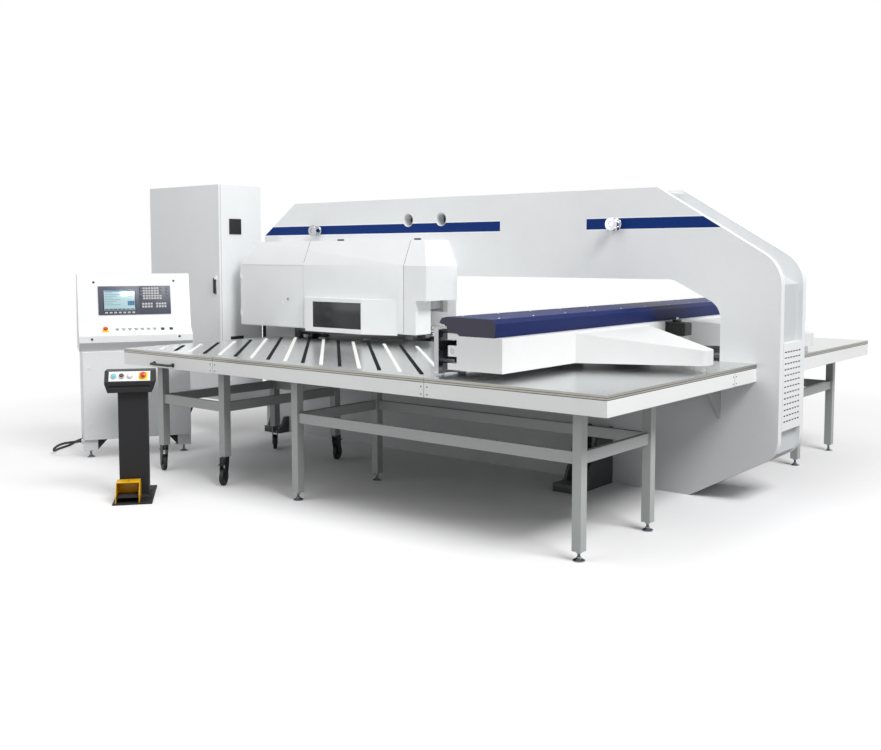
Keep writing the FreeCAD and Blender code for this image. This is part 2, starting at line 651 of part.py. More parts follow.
def turret():
    """Upper and lower turret with their tools, bearings, index shaft, belts and motor."""
    upper_low = S.pass_line + S.throat
    upper_high = upper_low + S.turret_thick
    lower_high = S.pass_line - S.die_height
    lower_low = lower_high - S.turret_thick
    upper_pulley = (S.slot_top - 48, S.slot_top - 10)
    lower_pulley = (S.window_floor + 30, S.window_floor + 68)
    upper = [
        rod("upper_disc", S.turret_radius, S.turret_thick, 0, TURRET_Y, upper_low),
        rod("upper_shaft", S.turret_shaft, S.slot_top + 155 - upper_high, 0, TURRET_Y, upper_high),
        rod("upper_pulley", S.turret_pulley, 38, 0, TURRET_Y, upper_pulley[0]),
    ]
    node("upper_turret", fuse("upper_turret_body", upper))
    lower_foot = FLOOR_WEB - S.web - 95
    lower = [
        rod("lower_disc", S.turret_radius, S.turret_thick, 0, TURRET_Y, lower_low),
        rod("lower_shaft", S.turret_shaft, lower_low - lower_foot, 0, TURRET_Y, lower_foot),
        rod("lower_pulley", S.turret_pulley, 38, 0, TURRET_Y, lower_pulley[0]),
    ]
    node("lower_turret", fuse("lower_turret_body", lower))
    punches = []
    dies = []
    for number, x, y in station_places():
        radius = (44, 34)[number % 2]
        punches.append(rod("punch_%d" % number, radius, S.punch_height, x, y, upper_high))
        dies.append(rod("die_%d" % number, radius + 4, S.die_height, x, y, lower_high))
    node("punch_holders", group("punch_holder_ring", punches))
    node("die_holders", group("die_holder_ring", dies))

    bearings = []
    wide = S.bearing_width
    for name, low, high in (("upper", SLOT_WEB + S.web, SLOT_WEB + S.web + 90),
                            ("lower", FLOOR_WEB - S.web - 90, FLOOR_WEB - S.web)):
        housing = box(name + "_bearing_housing", span(0, wide), span(TURRET_Y, wide), (low, high))
        bore = rod(name + "_bearing_bore", S.turret_shaft + S.running, 120, 0, TURRET_Y, low - 15)
        bearings.append(cut(name + "_bearing", housing, [bore]))
    node("turret_bearings", group("turret_bearing_pair", bearings))

    shaft = [
        rod("index_rod", S.index_shaft, S.slot_top + 34 - S.index_foot, 0, INDEX_Y, S.index_foot),
        rod("index_upper_pulley", S.index_pulley, 38, 0, INDEX_Y, upper_pulley[0]),
        rod("index_lower_pulley", S.index_pulley, 38, 0, INDEX_Y, lower_pulley[0]),
    ]
    node("index_shaft", fuse("index_shaft_body", shaft))
    node("index_belts", group("index_belt_pair", [
        belt("upper_belt", upper_pulley[0] + 1), belt("lower_belt", lower_pulley[0] + 1)]))
    case = box("index_motor_case", span(0, 150), span(INDEX_Y, 150), (380, 600))
    cap = box("index_motor_cap", span(0, 110), span(INDEX_Y, 110), (340, 380))
    socket = rod("index_motor_socket", S.index_shaft + S.running, 60, 0, INDEX_Y, 550)
    node("index_motor", cut("index_motor_body", fuse("index_motor_solid", [case, cap]), [socket]))


def belt(name, low):
    """A flat belt around a turret pulley and an index pulley."""
    sides = []
    for part, gap, start, height in (("outer", S.fit + S.belt_thick, low, S.belt_width),
                                     ("inner", S.fit, low - 1, S.belt_width + 2)):
        big = S.turret_pulley + gap
        small = S.index_pulley + gap
        lean = float(big - small) / float(S.index_axis - S.turret_axis)
        level = math.sqrt(1 - lean * lean)
        outline = [(big * level, TURRET_Y - big * lean), (small * level, INDEX_Y - small * lean),
                   (-(small * level), INDEX_Y - small * lean), (-(big * level), TURRET_Y - big * lean)]
        flat = prism("%s_%s_flat" % (name, part), "XY", start, height, outline)
        round_big = rod("%s_%s_big" % (name, part), big, height, 0, TURRET_Y, start)
        round_small = rod("%s_%s_small" % (name, part), small, height, 0, INDEX_Y, start)
        sides.append(fuse("%s_%s" % (name, part), [flat, round_big, round_small]))
    return cut(name, sides[0], [sides[1]])


def cover_solid(name, inset, low, rear_end):
    """The filled shape of a turret cover, set in by its sheet where asked."""
    face = S.cover_face - inset
    start = HALF_WIDTH + S.fit - inset * 8
    rear = rear_end + inset
    front = S.cover_front - inset
    hip = S.cover_hip
    base = box(name + "_box", (start, face), (-front, -rear), (low, S.cover_eaves))
    roof = doc.addObject("Part::Wedge", name + "_roof")
    values = (("Xmin", start), ("Xmax", face), ("X2min", start), ("X2max", face - hip),
              ("Zmin", rear), ("Zmax", front), ("Z2min", rear + hip), ("Z2max", front - hip))
    bind(roof, "Ymin", S.cover_eaves)
    bind(roof, "Ymax", S.cover_top - inset)
    for side, number in values:
        bind(roof, side, number)
    roof.Placement = FreeCAD.Placement(Vector(0, 0, 0), FreeCAD.Rotation(Vector(1, 0, 0), 90))
    solid = fuse(name + "_filled", [base, roof])
    edge = inset + S.cheek_top
    return cut(name, solid, [
        box(name + "_rear_gap", (0, S.cover_face + 20), (-S.cheek_rear - inset, 0), (low - 5, edge)),
        box(name + "_inner_gap", (0, S.cheek_inner + inset), (-S.window_front - inset, 0), (low - 5, edge)),
    ])


def cover_shell(name, rear_end):
    """A turret cover's sheet metal, open towards the frame and underneath."""
    outer = cover_solid(name + "_outer", S.cover_sheet * 0, S.cover_bottom, rear_end)
    inner = cover_solid(name + "_inner", S.cover_sheet, S.cover_bottom - 50, rear_end)
    return cut(name + "_shell", outer, [inner])


def near_cover():
    """The operator's cover, with its window hood, rear seam and tool door's opening."""
    face = S.cover_face
    reach = face + S.hood_reach
    t = S.cover_sheet
    hood_plan = [(face - 2, -S.hood_front - 88), (reach, -S.hood_front), (reach, -S.hood_rear),
                 (face - 2, S.hood_taper - S.hood_rear)]
    tail = S.hood_taper - S.hood_rear - 18
    inner_plan = [(face - 8, -S.hood_front - 79), (face - 1, -S.hood_front - 79),
                  (reach - t, -S.hood_front + 3), (reach - t, -S.hood_rear - 4), (face - 1, tail),
                  (face - 8, tail)]
    hood = prism("hood", "XY", S.hood_bottom, S.hood_top - S.hood_bottom, hood_plan)
    tools = [
        prism("hood_hollow", "XY", S.hood_bottom + t, S.hood_top - S.hood_bottom - t * 2, inner_plan),
        box("pane_opening", (reach - 10, reach + 10), (91 - S.hood_front, -S.hood_rear - 8),
            (S.window_low, S.window_high)),
        box("cover_rear_seam", (face - 1.5, face + 5), span(-410, 2), (S.cheek_top - 400, 1900)),
        box("door_opening", (face - 30, face + 10), (5 - S.cover_front, -S.door_seam),
            (S.cover_bottom + 4, S.cover_eaves - 2)),
    ]
    opened = cut("cover_opened", fuse("cover_joined", [cover_shell("cover_near", S.cover_rear), hood]), tools)
    knuckles = []
    bores = []
    for number, level in enumerate(hinge_levels()):
        low = level + S.fit
        knuckles.append(box("cover_knuckle_%d" % number, (face + 1.5, face + 8.5),
                            (2.5 - S.cover_front, 9.5 - S.cover_front), (low, low + 30)))
        knuckles.append(box("cover_hinge_leaf_%d" % number, (face - 3, face + 5),
                            (-S.cover_front, 3.5 - S.cover_front), (low, low + 30)))
        bores.append(rod("cover_hinge_bore_%d" % number, 2 + S.running, 50, face + 5, 6 - S.cover_front,
                         level - 10))
    return cut("cover_hinged", fuse("cover_with_knuckles", [opened] + knuckles), bores)


def far_cover():
    """The plain, shorter cover on the side away from the operator."""
    seam = box("cover_front_seam", (S.cover_face - 1.5, S.cover_face + 5), span(-S.door_seam, 2),
               (S.cheek_top - 400, 1900))
    return cut("cover_far_source", cover_shell("cover_plain", S.cover_far_rear), [seam])


def covers():
    """Both turret covers, the window pane and the tool door."""
    node("turret_covers", group("turret_cover_pair", [near_cover(), mirrored("cover_far", far_cover())]))
    reach = S.cover_face + S.hood_reach
    back = reach - S.cover_sheet
    pane = box("pane", (back - 5, back), (60 - S.hood_front, -S.hood_rear - 6),
               (S.window_low - 14, S.window_high + 14))
    node("window_glass", pane)

    face = S.cover_face
    along = (7 - S.cover_front, -S.door_seam - 3)
    height = (S.cover_bottom + 6, S.cover_eaves - 4)
    slab = box("tool_door_slab", (face - S.door_depth, face), along, height)
    hollow = box("tool_door_hollow", (face - S.door_depth - 1, face - 2.5), (along[0] + 3, along[1] - 3),
                 (height[0] + 3, height[1] - 3))
    tray = cut("tool_door_tray", slab, [hollow])
    pieces = [tray, rod("tool_door_lock", 13, 6, face - 3, -1849, 1259, "X")]
    for number, level in enumerate(hinge_levels()):
        pieces.append(rod("door_hinge_pin_%d" % number, 2, 31, face + 5, 6 - S.cover_front, level - 1))
        pieces.append(box("door_knuckle_%d" % number, (face + 1.5, face + 8.5),
                          (2.5 - S.cover_front, 24 - S.cover_front), (level - 30, level)))
        pieces.append(box("door_hinge_leaf_%d" % number, (face - 2, face + 4),
                          (9 - S.cover_front, 24 - S.cover_front), (level - 30, level)))
    node("tool_door", fuse("tool_door_body", pieces))


def hinge_levels():
    """Heights of the tool door's two hinges."""
    return (S.cover_bottom + 110, S.cover_eaves - 100)


# ---------------------------------------------------------------- sheet positioning

def beam():
    """The cross beam with its outriggers, cover, rails, screw and motors."""
    low = S.beam_bottom
    top = S.beam_top
    lip = S.beam_lip
    web = S.beam_web
    length = S.beam_half * 2
    lip_top = top + 14
    profile = [(lip, low), (S.beam_rear, low), (S.beam_rear, top), (web + 20, top), (web, lip_top),
               (lip, lip_top), (lip, lip_top - S.beam_lip_height), (web, lip_top - S.beam_lip_height),
               (web, low + S.beam_lip_height), (lip, low + S.beam_lip_height)]
    wall = S.beam_wall
    hollow = [(web + wall, low + wall), (S.beam_rear - wall, low + wall), (S.beam_rear - wall, top - wall),
              (web + wall, top - wall)]
    pieces = [prism("beam_section", "YZ", -S.beam_half, length, profile, [hollow])]
    for number, start in enumerate((-S.beam_half, S.beam_half - wall)):
        pieces.append(box("beam_end_%d" % number, (start, start + wall),
                          (web + wall / 2, S.beam_rear - wall / 2), (low + wall / 2, top - wall / 2)))
    screw_y = web - 34
    screw_z = (low + lip_top) / 2 + 3
    for number, start in enumerate((-S.beam_half, S.beam_half - 36)):
        pieces.append(box("screw_bearing_%d" % number, (start, start + 36), (screw_y - 32, web),
                          span(screw_z, 64)))
    for number, centre in enumerate((-S.y_rail_centre, S.y_rail_centre)):
        pieces.append(box("y_leg_%d" % number, span(centre, S.y_block_width),
                          (S.beam_rear - 315, S.beam_rear + 185), (S.table_top - 90, low)))
        for spot, along in enumerate((S.beam_rear - 315, S.beam_rear + 65)):
            pieces.append(box("y_block_%d_%d" % (number, spot), span(centre, S.y_block_width),
                              (along, along + 120), (S.window_floor + 5, low)))
    plan = [(S.arm_outer, S.beam_rear), (S.arm_centre + 55, S.arm_tip), (S.arm_centre - 55, S.arm_tip),
            (S.arm_inner, S.beam_rear)]
    flat = prism("arm_plan", "XY", low, S.arm_root_top - low, plan)
    round_corners(flat, "XY", [plan[1], plan[2]], 50)
    side = [(S.beam_rear, low), (S.arm_tip, low), (S.arm_tip, S.arm_tip_top), (S.beam_rear, S.arm_root_top)]
    arm = common("arm", flat, prism("arm_side", "YZ", S.arm_inner, S.arm_outer - S.arm_inner, side))
    skate = box("arm_skate", span(S.arm_centre, 50), (S.arm_tip - 90, S.arm_tip - 40),
                (S.table_top + 0.4, low + 1))
    arm_whole = fuse("arm_with_skate", [arm, skate])
    pieces += [arm_whole, mirrored("arm_far", arm_whole)]
    bore = S.screw_radius + S.running
    tools = [rod("screw_bore", bore, length + 10, -S.beam_half - 5, screw_y, screw_z, "X"),
             rod("beam_cable_hole", 30, wall + 10, -S.beam_half - 5, (web + S.beam_rear) / 2,
                 (low + top) / 2, "X")]
    gap = S.fit
    for number, centre in enumerate((-S.y_rail_centre, S.y_rail_centre)):
        tools.append(box("y_rail_channel_%d" % number, span(centre, S.rail_size + gap * 2),
                         (S.beam_rear - 400, S.beam_rear + 300),
                         (S.window_floor, S.window_floor + S.y_rail_height + gap)))
    node("cross_beam", cut("cross_beam_body", fuse("cross_beam_solid", pieces), tools))

    hook = [(1143, 1274), (1158, 1266), (1177, 1263), (1197, 1252), (1206, 1237), (1211, 1221), (1278, 1213),
            (1297, 1198), (1551, 1198), (1560, 1279), (1533, 1305), (1206, 1310), (1163, 1302)]
    inside = [(1172, 1298), (1180, 1267), (1199, 1256), (1209, 1240), (1214, 1225), (1281, 1217),
              (1301, 1201), (1301, 1190), (1547, 1190), (1556, 1278), (1531, 1301), (1206, 1306)]
    outer = prism("beam_cover_outer", "YZ", -S.beam_half, length, on_beam(hook))
    hole = prism("beam_cover_hollow", "YZ", 3 - S.beam_half, length - 6, on_beam(inside))
    node("beam_cover", cut("beam_cover_body", outer, [hole]))

    rails = []
    for name, centre in (("lower", low + S.beam_lip_height / 2), ("upper", lip_top - S.beam_lip_height / 2)):
        rails.append(box("x_rail_" + name, (-S.beam_half, S.beam_half), (lip - S.rail_stand, lip),
                         span(centre, S.rail_size)))
    node("x_rails", group("x_rail_pair", rails))
    y_rails = []
    for number, centre in enumerate((-S.y_rail_centre, S.y_rail_centre)):
        y_rails.append(box("y_rail_%d" % number, span(centre, S.rail_size), (-40, S.window_rear - 90),
                           (S.window_floor, S.window_floor + S.y_rail_height)))
    node("y_rails", group("y_rail_pair", y_rails))
    node("x_screw", rod("x_screw_rod", S.screw_radius, length - 4, 2 - S.beam_half, screw_y, screw_z, "X"))

    y_motor = [box("y_motor_plate", span(0, 130), (S.beam_rear, S.beam_rear + 15), (top - 110, top)),
               box("y_motor_case", span(0, 110), (S.beam_rear + 15, S.beam_rear + 150), (top - 100, top - 8))]
    x_motor = [box("x_motor_plate", (-S.beam_half - 15, -S.beam_half), (screw_y - 50, web + 40),
                   span(screw_z, 110)),
               box("x_motor_case", (-S.beam_half - 154, -S.beam_half - 15), (screw_y - 45, screw_y + 45),
                   span(screw_z, 90))]
    node("axis_motors", group("axis_motor_pair", [fuse("y_motor", y_motor), fuse("x_motor", x_motor)]))
    carriage(screw_y, screw_z, lip_top)


def on_beam(points):
    """Points of the beam's cover, measured from the beam's rear top edge."""
    return [(S.beam_rear + (y - 1605), S.beam_top + (z - 1198)) for y, z in points]


def carriage(screw_y, screw_z, lip_top):
    """The plate that runs along the beam, its blocks and nut, and the sheet clamps."""
    start = S.beam_half - S.carriage_length
    back = S.carriage_front + S.carriage_thick
    plate = box("carriage_plate", (start, S.beam_half), (S.carriage_front, back),
                (S.carriage_bottom, S.carriage_top))
    pieces = [plate]
    tools = []
    rail_back = S.beam_lip - S.rail_stand
    for name, centre in (("low", S.beam_bottom + S.beam_lip_height / 2),
                         ("high", lip_top - S.beam_lip_height / 2)):
        for spot, x in enumerate((start + 90, S.beam_half - 200)):
            pieces.append(box("x_block_%s_%d" % (name, spot), (x, x + 110), (back, rail_back + 19),
                              span(centre, S.block_size)))
        tools.append(box("x_rail_channel_" + name, (0, S.beam_half + 10), (rail_back - S.fit, rail_back + 60),
                         span(centre, S.rail_size + S.fit * 2)))
    nut = (S.beam_half - S.carriage_length / 2 - 50, S.beam_half - S.carriage_length / 2 + 50)
    pieces.append(box("screw_nut", nut, (back, S.beam_web - 4), span(screw_z, 60)))
    tools.append(rod("screw_nut_bore", S.screw_radius + S.running, 200, nut[0] - 50, screw_y, screw_z, "X"))

    tip = S.carriage_front - S.clamp_reach
    low = S.table_top + S.strip_height + 0.6
    pivot_y = S.carriage_front - 80
    pivot_z = S.pass_line + 33
    half = S.clamp_width / 2
    for number in range(3):
        centre = start + 276 + S.clamp_spacing * number
        across = (centre - half, centre + half)
        pieces.append(box("clamp_sole_%d" % number, across, (tip, S.carriage_front), (low, S.pass_line)))
        pieces.append(box("clamp_back_%d" % number, across, (S.carriage_front - 50, S.carriage_front),
                          (low, S.pass_line + 68)))
        for side, edge in enumerate((centre - half, centre + half - 8)):
            pieces.append(box("clamp_cheek_%d_%d" % (number, side), (edge, edge + 8),
                              (S.carriage_front - 104, S.carriage_front), (low, S.pass_line + 66)))
        tools.append(rod("clamp_bore_%d" % number, 8 + S.running, S.clamp_width + 10, centre - half - 5,
                         pivot_y, pivot_z, "X"))
        jaw = [(tip + 4, S.pass_line + 0.4), (tip + 25, S.pass_line + 0.4), (tip + 32, S.pass_line + 10),
               (pivot_y + 22, pivot_z - 20), (pivot_y + 24, pivot_z + 17), (pivot_y - 14, pivot_z + 23),
               (tip + 4, S.pass_line + 23)]
        upper = prism("jaw_%d" % number, "YZ", centre - half + 8.3, S.clamp_width - 16.6, jaw)
        pin = rod("jaw_pin_%d" % number, 8, S.clamp_width, centre - half, pivot_y, pivot_z, "X")
        node("clamp_jaw_%d" % (number + 1), fuse("clamp_jaw_body_%d" % number, [upper, pin]))
    node("x_carriage", cut("x_carriage_body", fuse("x_carriage_solid", pieces), tools))


# ---------------------------------------------------------------- control cabinet

def cabinet():
    """The electrical cabinet on its bracket, with door, handle and fittings."""
    front = -S.cabinet_front
    rear = front + S.cabinet_length
    inner = S.cabinet_inner
    outer = inner + S.cabinet_width
    low = S.cabinet_bottom
    top = S.cabinet_top
    wall = S.cabinet_wall
    mouth = outer - S.cabinet_door - S.fit
    shell = box("cabinet_shell", (inner, mouth), (front, rear), (low, top))
    hollow = box("cabinet_hollow", (inner + wall, mouth + 1), (front + wall, rear - wall),
                 (low + wall, top - wall))
    gland_x = S.gland_across
    gland_y = -S.gland_front
    gland_hole = rod("cabinet_gland_hole", 14, 60, gland_x, gland_y, low - 20)
    node("cabinet_body", cut("cabinet_body_shell", shell, [hollow, gland_hole]))

    leaf = box("cabinet_leaf", (outer - S.cabinet_door, outer), (front, rear), (low, top))
    back = box("cabinet_leaf_hollow", (outer - S.cabinet_door - 1, outer - 3), (front + 20, rear - 20),
               (low + 20, top - 20))
    leaf_tray = cut("cabinet_leaf_tray", leaf, [back])
    lever_y = rear - 57
    pin_x = outer + 18.5
    pin_z = 1462
    plate = box("handle_plate", (outer - 1, outer + 6), span(lever_y, 36), (1315, 1484))
    ears = []
    for number, edge in enumerate((lever_y - 18, lever_y + 10.3)):
        ears.append(box("handle_ear_%d" % number, (outer + 5, pin_x + 8), (edge, edge + 7.7), (1452, 1476)))
    bore = rod("handle_bore", 3 + S.running, 60, pin_x, lever_y - 30, pin_z, "Y")
    door = fuse("cabinet_door_solid", [leaf_tray, plate] + ears)
    node("cabinet_door", cut("cabinet_door_body", door, [bore]))
    lever = box("handle_lever", (pin_x - 9, pin_x + 9), span(lever_y, 20), (1325, pin_z + 5))
    pin = rod("handle_pin", 3, 36, pin_x, lever_y - 18, pin_z, "Y")
    node("cabinet_handle", fuse("cabinet_handle_body", [lever, pin]))

    grille = box("cabinet_grille", (490, 628), (rear, rear + 8), (1870, 2013))
    slots = []
    for row in range(7):
        slots.append(box("grille_slot_%d" % row, (500, 618), (rear + 4, rear + 20), span(1882 + row * 20, 8)))
    fittings = [cut("cabinet_grille_body", grille, slots),
                box("cabinet_socket", (490, 628), (rear, rear + 22), (874, 916)),
                cut("cable_gland", fuse("cable_gland_solid", [
                    rod("gland_nut", 22, 24, gland_x, gland_y, low - 24),
                    rod("gland_sleeve", 13.7, 50, gland_x, gland_y, low - 24)]),
                    [rod("gland_bore", S.cable_radius + S.running, 30, gland_x, gland_y, low - 30)])]
    deep = inner + wall
    for number in range(3):
        shelf = 650 + 520 * number
        fittings.append(box("drive_module_%d" % number, (deep, deep + 180), (front + 120, rear - 120),
                            (shelf, shelf + 330)))
    node("cabinet_fittings", group("cabinet_fitting_set", fittings))


# ---------------------------------------------------------------- sheet tables

def runs(name, x_range, y_range, crossings, height):
    """A long member in lengths between the cross members that it meets."""
    half = S.cross_width / 2
    stops = sorted(place for place in crossings if float(y_range[0]) < float(place) < float(y_range[1]))
    starts = [y_range[0]] + [place + half for place in stops]
    ends = [place - half for place in stops] + [y_range[1]]
    pieces = []
    for number, (start, end) in enumerate(zip(starts, ends)):
        if float(end - start) > 1:
            pieces.append(box("%s_%d" % (name, number), x_range, (start, end), height))
    return pieces


def table_legs(prefix, places, low):
    """The legs of a table frame and the low rails between them."""
    top = S.table_top - S.table_plate - S.member_height
    half = S.leg_width / 2
    pieces = []
    for number, (x, y) in enumerate(places):
        pieces.append(box("%s_leg_%d" % (prefix, number), span(x, S.leg_width), span(y, S.leg_width),
                          (low, top)))
    xs = sorted(set(place[0] for place in places))
    ys = sorted(set(place[1] for place in places))
    rail = (S.rail_bottom, S.rail_bottom + S.rail_height)
    for number, y in enumerate(ys):
        pieces.append(box("%s_rail_x_%d" % (prefix, number), (xs[0] + half, xs[1] - half), span(y, 30), rail))
    for number, x in enumerate(xs):
        pieces.append(box("%s_rail_y_%d" % (prefix, number), span(x, 30), (ys[0] + half, ys[1] - half), rail))
    return pieces


def fixed_table(prefix):
    """The pieces of a table frame that stands on levelling feet, on the +X side."""
    start = HALF_WIDTH + S.fit
    front = 2 - S.module_seam
    top = S.table_top - S.table_plate
    member = (top - S.member_height, top)
    skirt = (top - S.skirt_height, top)
    inside = S.table_reach - S.skirt_thick
    back = S.table_rear - S.skirt_thick
    legs = [(S.outer_leg, S.rear_leg), (S.inner_leg, S.rear_leg),
            (S.outer_leg, -S.middle_leg), (S.inner_leg, -S.middle_leg)]
    crossings = (S.rear_leg, S.table_seam, -S.middle_leg, front + S.cross_width / 2)
    pieces = table_legs(prefix, legs, S.leg_bottom)
    pieces.append(box(prefix + "_outer_skirt", (inside, S.table_reach), (front, S.table_rear), skirt))
    pieces.append(box(prefix + "_rear_skirt", (start, inside), (back, S.table_rear), skirt))
    for number, y in enumerate(crossings):
        pieces.append(box("%s_cross_%d" % (prefix, number), (start, inside), span(y, S.cross_width), member))
    pieces += runs(prefix + "_inner_member", (start + 60, start + 100), (front, back), crossings, member)
    pieces += runs(prefix + "_edge_member", (560, 600), (-1040, back), crossings, member)
    for number, y in enumerate((S.rear_leg, S.table_seam, -S.middle_leg)):
        low = top - S.member_height
        gusset = [(HALF_WIDTH, low - 303), (HALF_WIDTH, low), (HALF_WIDTH + 275, low),
                  (HALF_WIDTH + 275, low - 30)]
        pieces.append(prism("%s_gusset_%d" % (prefix, number), "XZ", y - 10, 20, gusset))
    return pieces


def front_table(prefix, leg_low):
    """The pieces of the front part of a table frame, on the +X side."""
    top = S.table_top - S.table_plate
    member = (top - S.member_height, top)
    skirt = (top - S.skirt_height, top)
    inside = S.table_reach - S.skirt_thick
    front = -S.table_front
    rear = -S.module_seam - 2
    legs = [(S.outer_leg, -S.module_front_leg), (S.outer_leg, -S.module_rear_leg),
            (S.module_inner_leg, -S.module_front_leg), (S.module_inner_leg, -S.module_rear_leg)]
    crossings = (-S.module_front_leg, -S.module_rear_leg)
    start = S.inner_seam + 10
    pieces = table_legs(prefix, legs, leg_low)
    pieces.append(box(prefix + "_outer_skirt", (inside, S.table_reach), (front, rear), skirt))
    pieces.append(box(prefix + "_front_skirt", (S.inner_seam + 2, inside), (front, front + S.skirt_thick),
                      skirt))
    for number, y in enumerate(crossings):
        pieces.append(box("%s_cross_%d" % (prefix, number), (start, inside), span(y, S.cross_width), member))
    pieces += runs(prefix + "_inner_member", (start, start + 40), (front + S.skirt_thick, rear), crossings,
                   member)
    return pieces


def castor_places():
    """Stem place and heading of the four castors."""
    return [(S.outer_leg, -S.module_front_leg, 248), (S.outer_leg, -S.module_rear_leg, 30),
            (S.module_inner_leg, -S.module_front_leg, 232), (S.module_inner_leg, -S.module_rear_leg, 200)]


def tables():
    """Both sheet tables with plates and sliding strips."""
    node("right_table_frame", group("right_table_body", fixed_table("right")))
    left = fixed_table("left") + front_table("left_front", S.leg_bottom)
    left.append(box("left_skirt_lap", (S.table_reach - S.skirt_thick, S.table_reach),
                    span(-S.module_seam, 4), (S.table_top - S.table_plate - S.skirt_height,
                                              S.table_top - S.table_plate)))
    node("left_table_frame", mirrored("left_table_body", group("left_table_source", left)))
    sockets = []
    for number, (x, y, _) in enumerate(castor_places()):
        sockets.append(rod("castor_socket_%d" % number, S.castor_stem + S.running, 52, x, y,
                           S.castor_leg_bottom - 10))
    module = group("front_table_solid", front_table("module", S.castor_leg_bottom))
    node("front_table_frame", cut("front_table_body", module, sockets))

    low = S.table_top - S.table_plate
    height = (low, S.table_top)
    inner = HALF_WIDTH + S.fit
    gap = S.seam_gap
    strip = box("inner_plate", (inner, S.inner_seam - gap), (-1050, S.table_rear), height)
    clear = rod("turret_clearance", S.turret_radius + 15, 80, 0, TURRET_Y, low - 20)
    plates = [
        box("module_plate", (S.inner_seam, S.table_reach), (-S.table_front, -S.module_seam - 2), height),
        box("slatted_plate", (S.inner_seam, S.table_reach), (2 - S.module_seam, S.table_seam - gap), height),
        box("plain_plate", (S.inner_seam, S.table_reach), (S.table_seam, S.table_rear), height),
        cut("inner_plate_cut", strip, [clear]),
    ]
    both = plates + [mirrored(plate.Name + "_far", plate) for plate in plates]
    node("table_plates", group("table_plate_set", both))
    strips = {0: [], 1: []}
    for number in range(int(S.strip_count)):
        outer = S.table_reach - S.strip_inset
        offset = S.strip_step * number + S.strip_short - S.strip_front - outer
        if float(outer + offset) > float(S.table_seam - 33):
            outer = S.table_seam - 33 - offset
        inside = -S.strip_front - offset
        if float(inside) < float(S.strip_inner):
            inside = S.strip_inner
        slat = doc.addObject("Part::Box", "strip_%d" % number)
        bind(slat, "Length", (outer - inside) * math.sqrt(2))
        bind(slat, "Width", S.strip_width)
        bind(slat, "Height", S.strip_height)
        lean = S.strip_width * (0.5 * math.sqrt(0.5))
        put(slat, inside + lean, inside + offset - lean, S.table_top, FreeCAD.Rotation(Vector(0, 0, 1), 45))
        strips[number % 2] += [slat, mirrored("strip_far_%d" % number, slat)]
    node("white_strips", group("white_strip_set", strips[0]))
    node("black_strips", group("black_strip_set", strips[1]))

    reach = S.handle_reach
    half = S.handle_length / 2
    middle = -S.handle_centre
    bar = rod("handle_bar", S.handle_radius, S.handle_length, S.table_reach + reach, middle - half,
              S.handle_height, "Y")
    posts = []
    for number, y in enumerate((middle - half + S.handle_radius, middle + half - S.handle_radius)):
        posts.append(rod("handle_post_%d" % number, S.handle_radius, reach, S.table_reach, y,
                         S.handle_height, "X"))
    node("table_handle", fuse("table_handle_body", [bar] + posts))


def castors():
    """Four swivelling castors under the roll-away table."""
    top = S.castor_leg_bottom - S.fit
    axle_z = S.wheel_radius
    trail = S.castor_trail
    half = S.wheel_width / 2
    for number, (x, y, heading) in enumerate(castor_places(), 1):
        turn = FreeCAD.Rotation(Vector(0, 0, 1), heading)
        name = "castor_%d" % number
        cheek = [(-20, top - 15), (-20, top - 40), (trail - 26, axle_z), (trail - 14, axle_z - 20),
                 (trail + 14, axle_z - 20), (trail + 26, axle_z), (trail + 22, top - 15)]
        pieces = [box(name + "_crown", (-28, trail + 22), span(0, S.wheel_width + 14), (top - 16, top)),
                  rod(name + "_stem", S.castor_stem, 40, 0, 0, top - 5),
                  prism(name + "_cheek_a", "XZ", half + 2, 5, cheek),
                  prism(name + "_cheek_b", "XZ", -half - 7, 5, cheek),
                  rod(name + "_axle", S.axle_radius, S.wheel_width + 14, trail, -half - 7, axle_z, "Y"),
                  box(name + "_brake_arm", (trail + 10, trail + 30), span(0, 24), (top - 52, top - 10)),
                  box(name + "_brake_pedal", (trail + 24, trail + 56), span(0, 40), (top - 52, top - 45))]
        node("caster_fork_%d" % number, fuse(name + "_fork", pieces), (x, y, 0, turn))
        wheel = rod(name + "_tyre", S.wheel_radius, S.wheel_width, trail, -half, axle_z, "Y")
        bore = rod(name + "_bore", S.axle_radius + S.running, S.wheel_width + 4, trail, -half - 2, axle_z,
                   "Y")
        node("caster_wheel_%d" % number, cut(name + "_wheel", wheel, [bore]), (x, y, 0, turn))


# ---------------------------------------------------------------- operator console

CONSOLE = (1799, -2340, 0, FreeCAD.Rotation(Vector(0, 0, 1), 150.6))


def console_legs():
    """Leg places in the console's own frame."""
    x = S.console_body - 55
    return [(-x, 60), (x, 60), (-x, S.console_depth - 55), (x, S.console_depth - 55)]


def tilted(thing, y, z, angle):
    """A piece drawn flat, turned about X and set on a sloped face of the console or stand."""
    turned_piece = group(thing.Name + "_tilted", [thing])
    put(turned_piece, 0, y, z, FreeCAD.Rotation(Vector(1, 0, 0), angle))
    return turned_piece


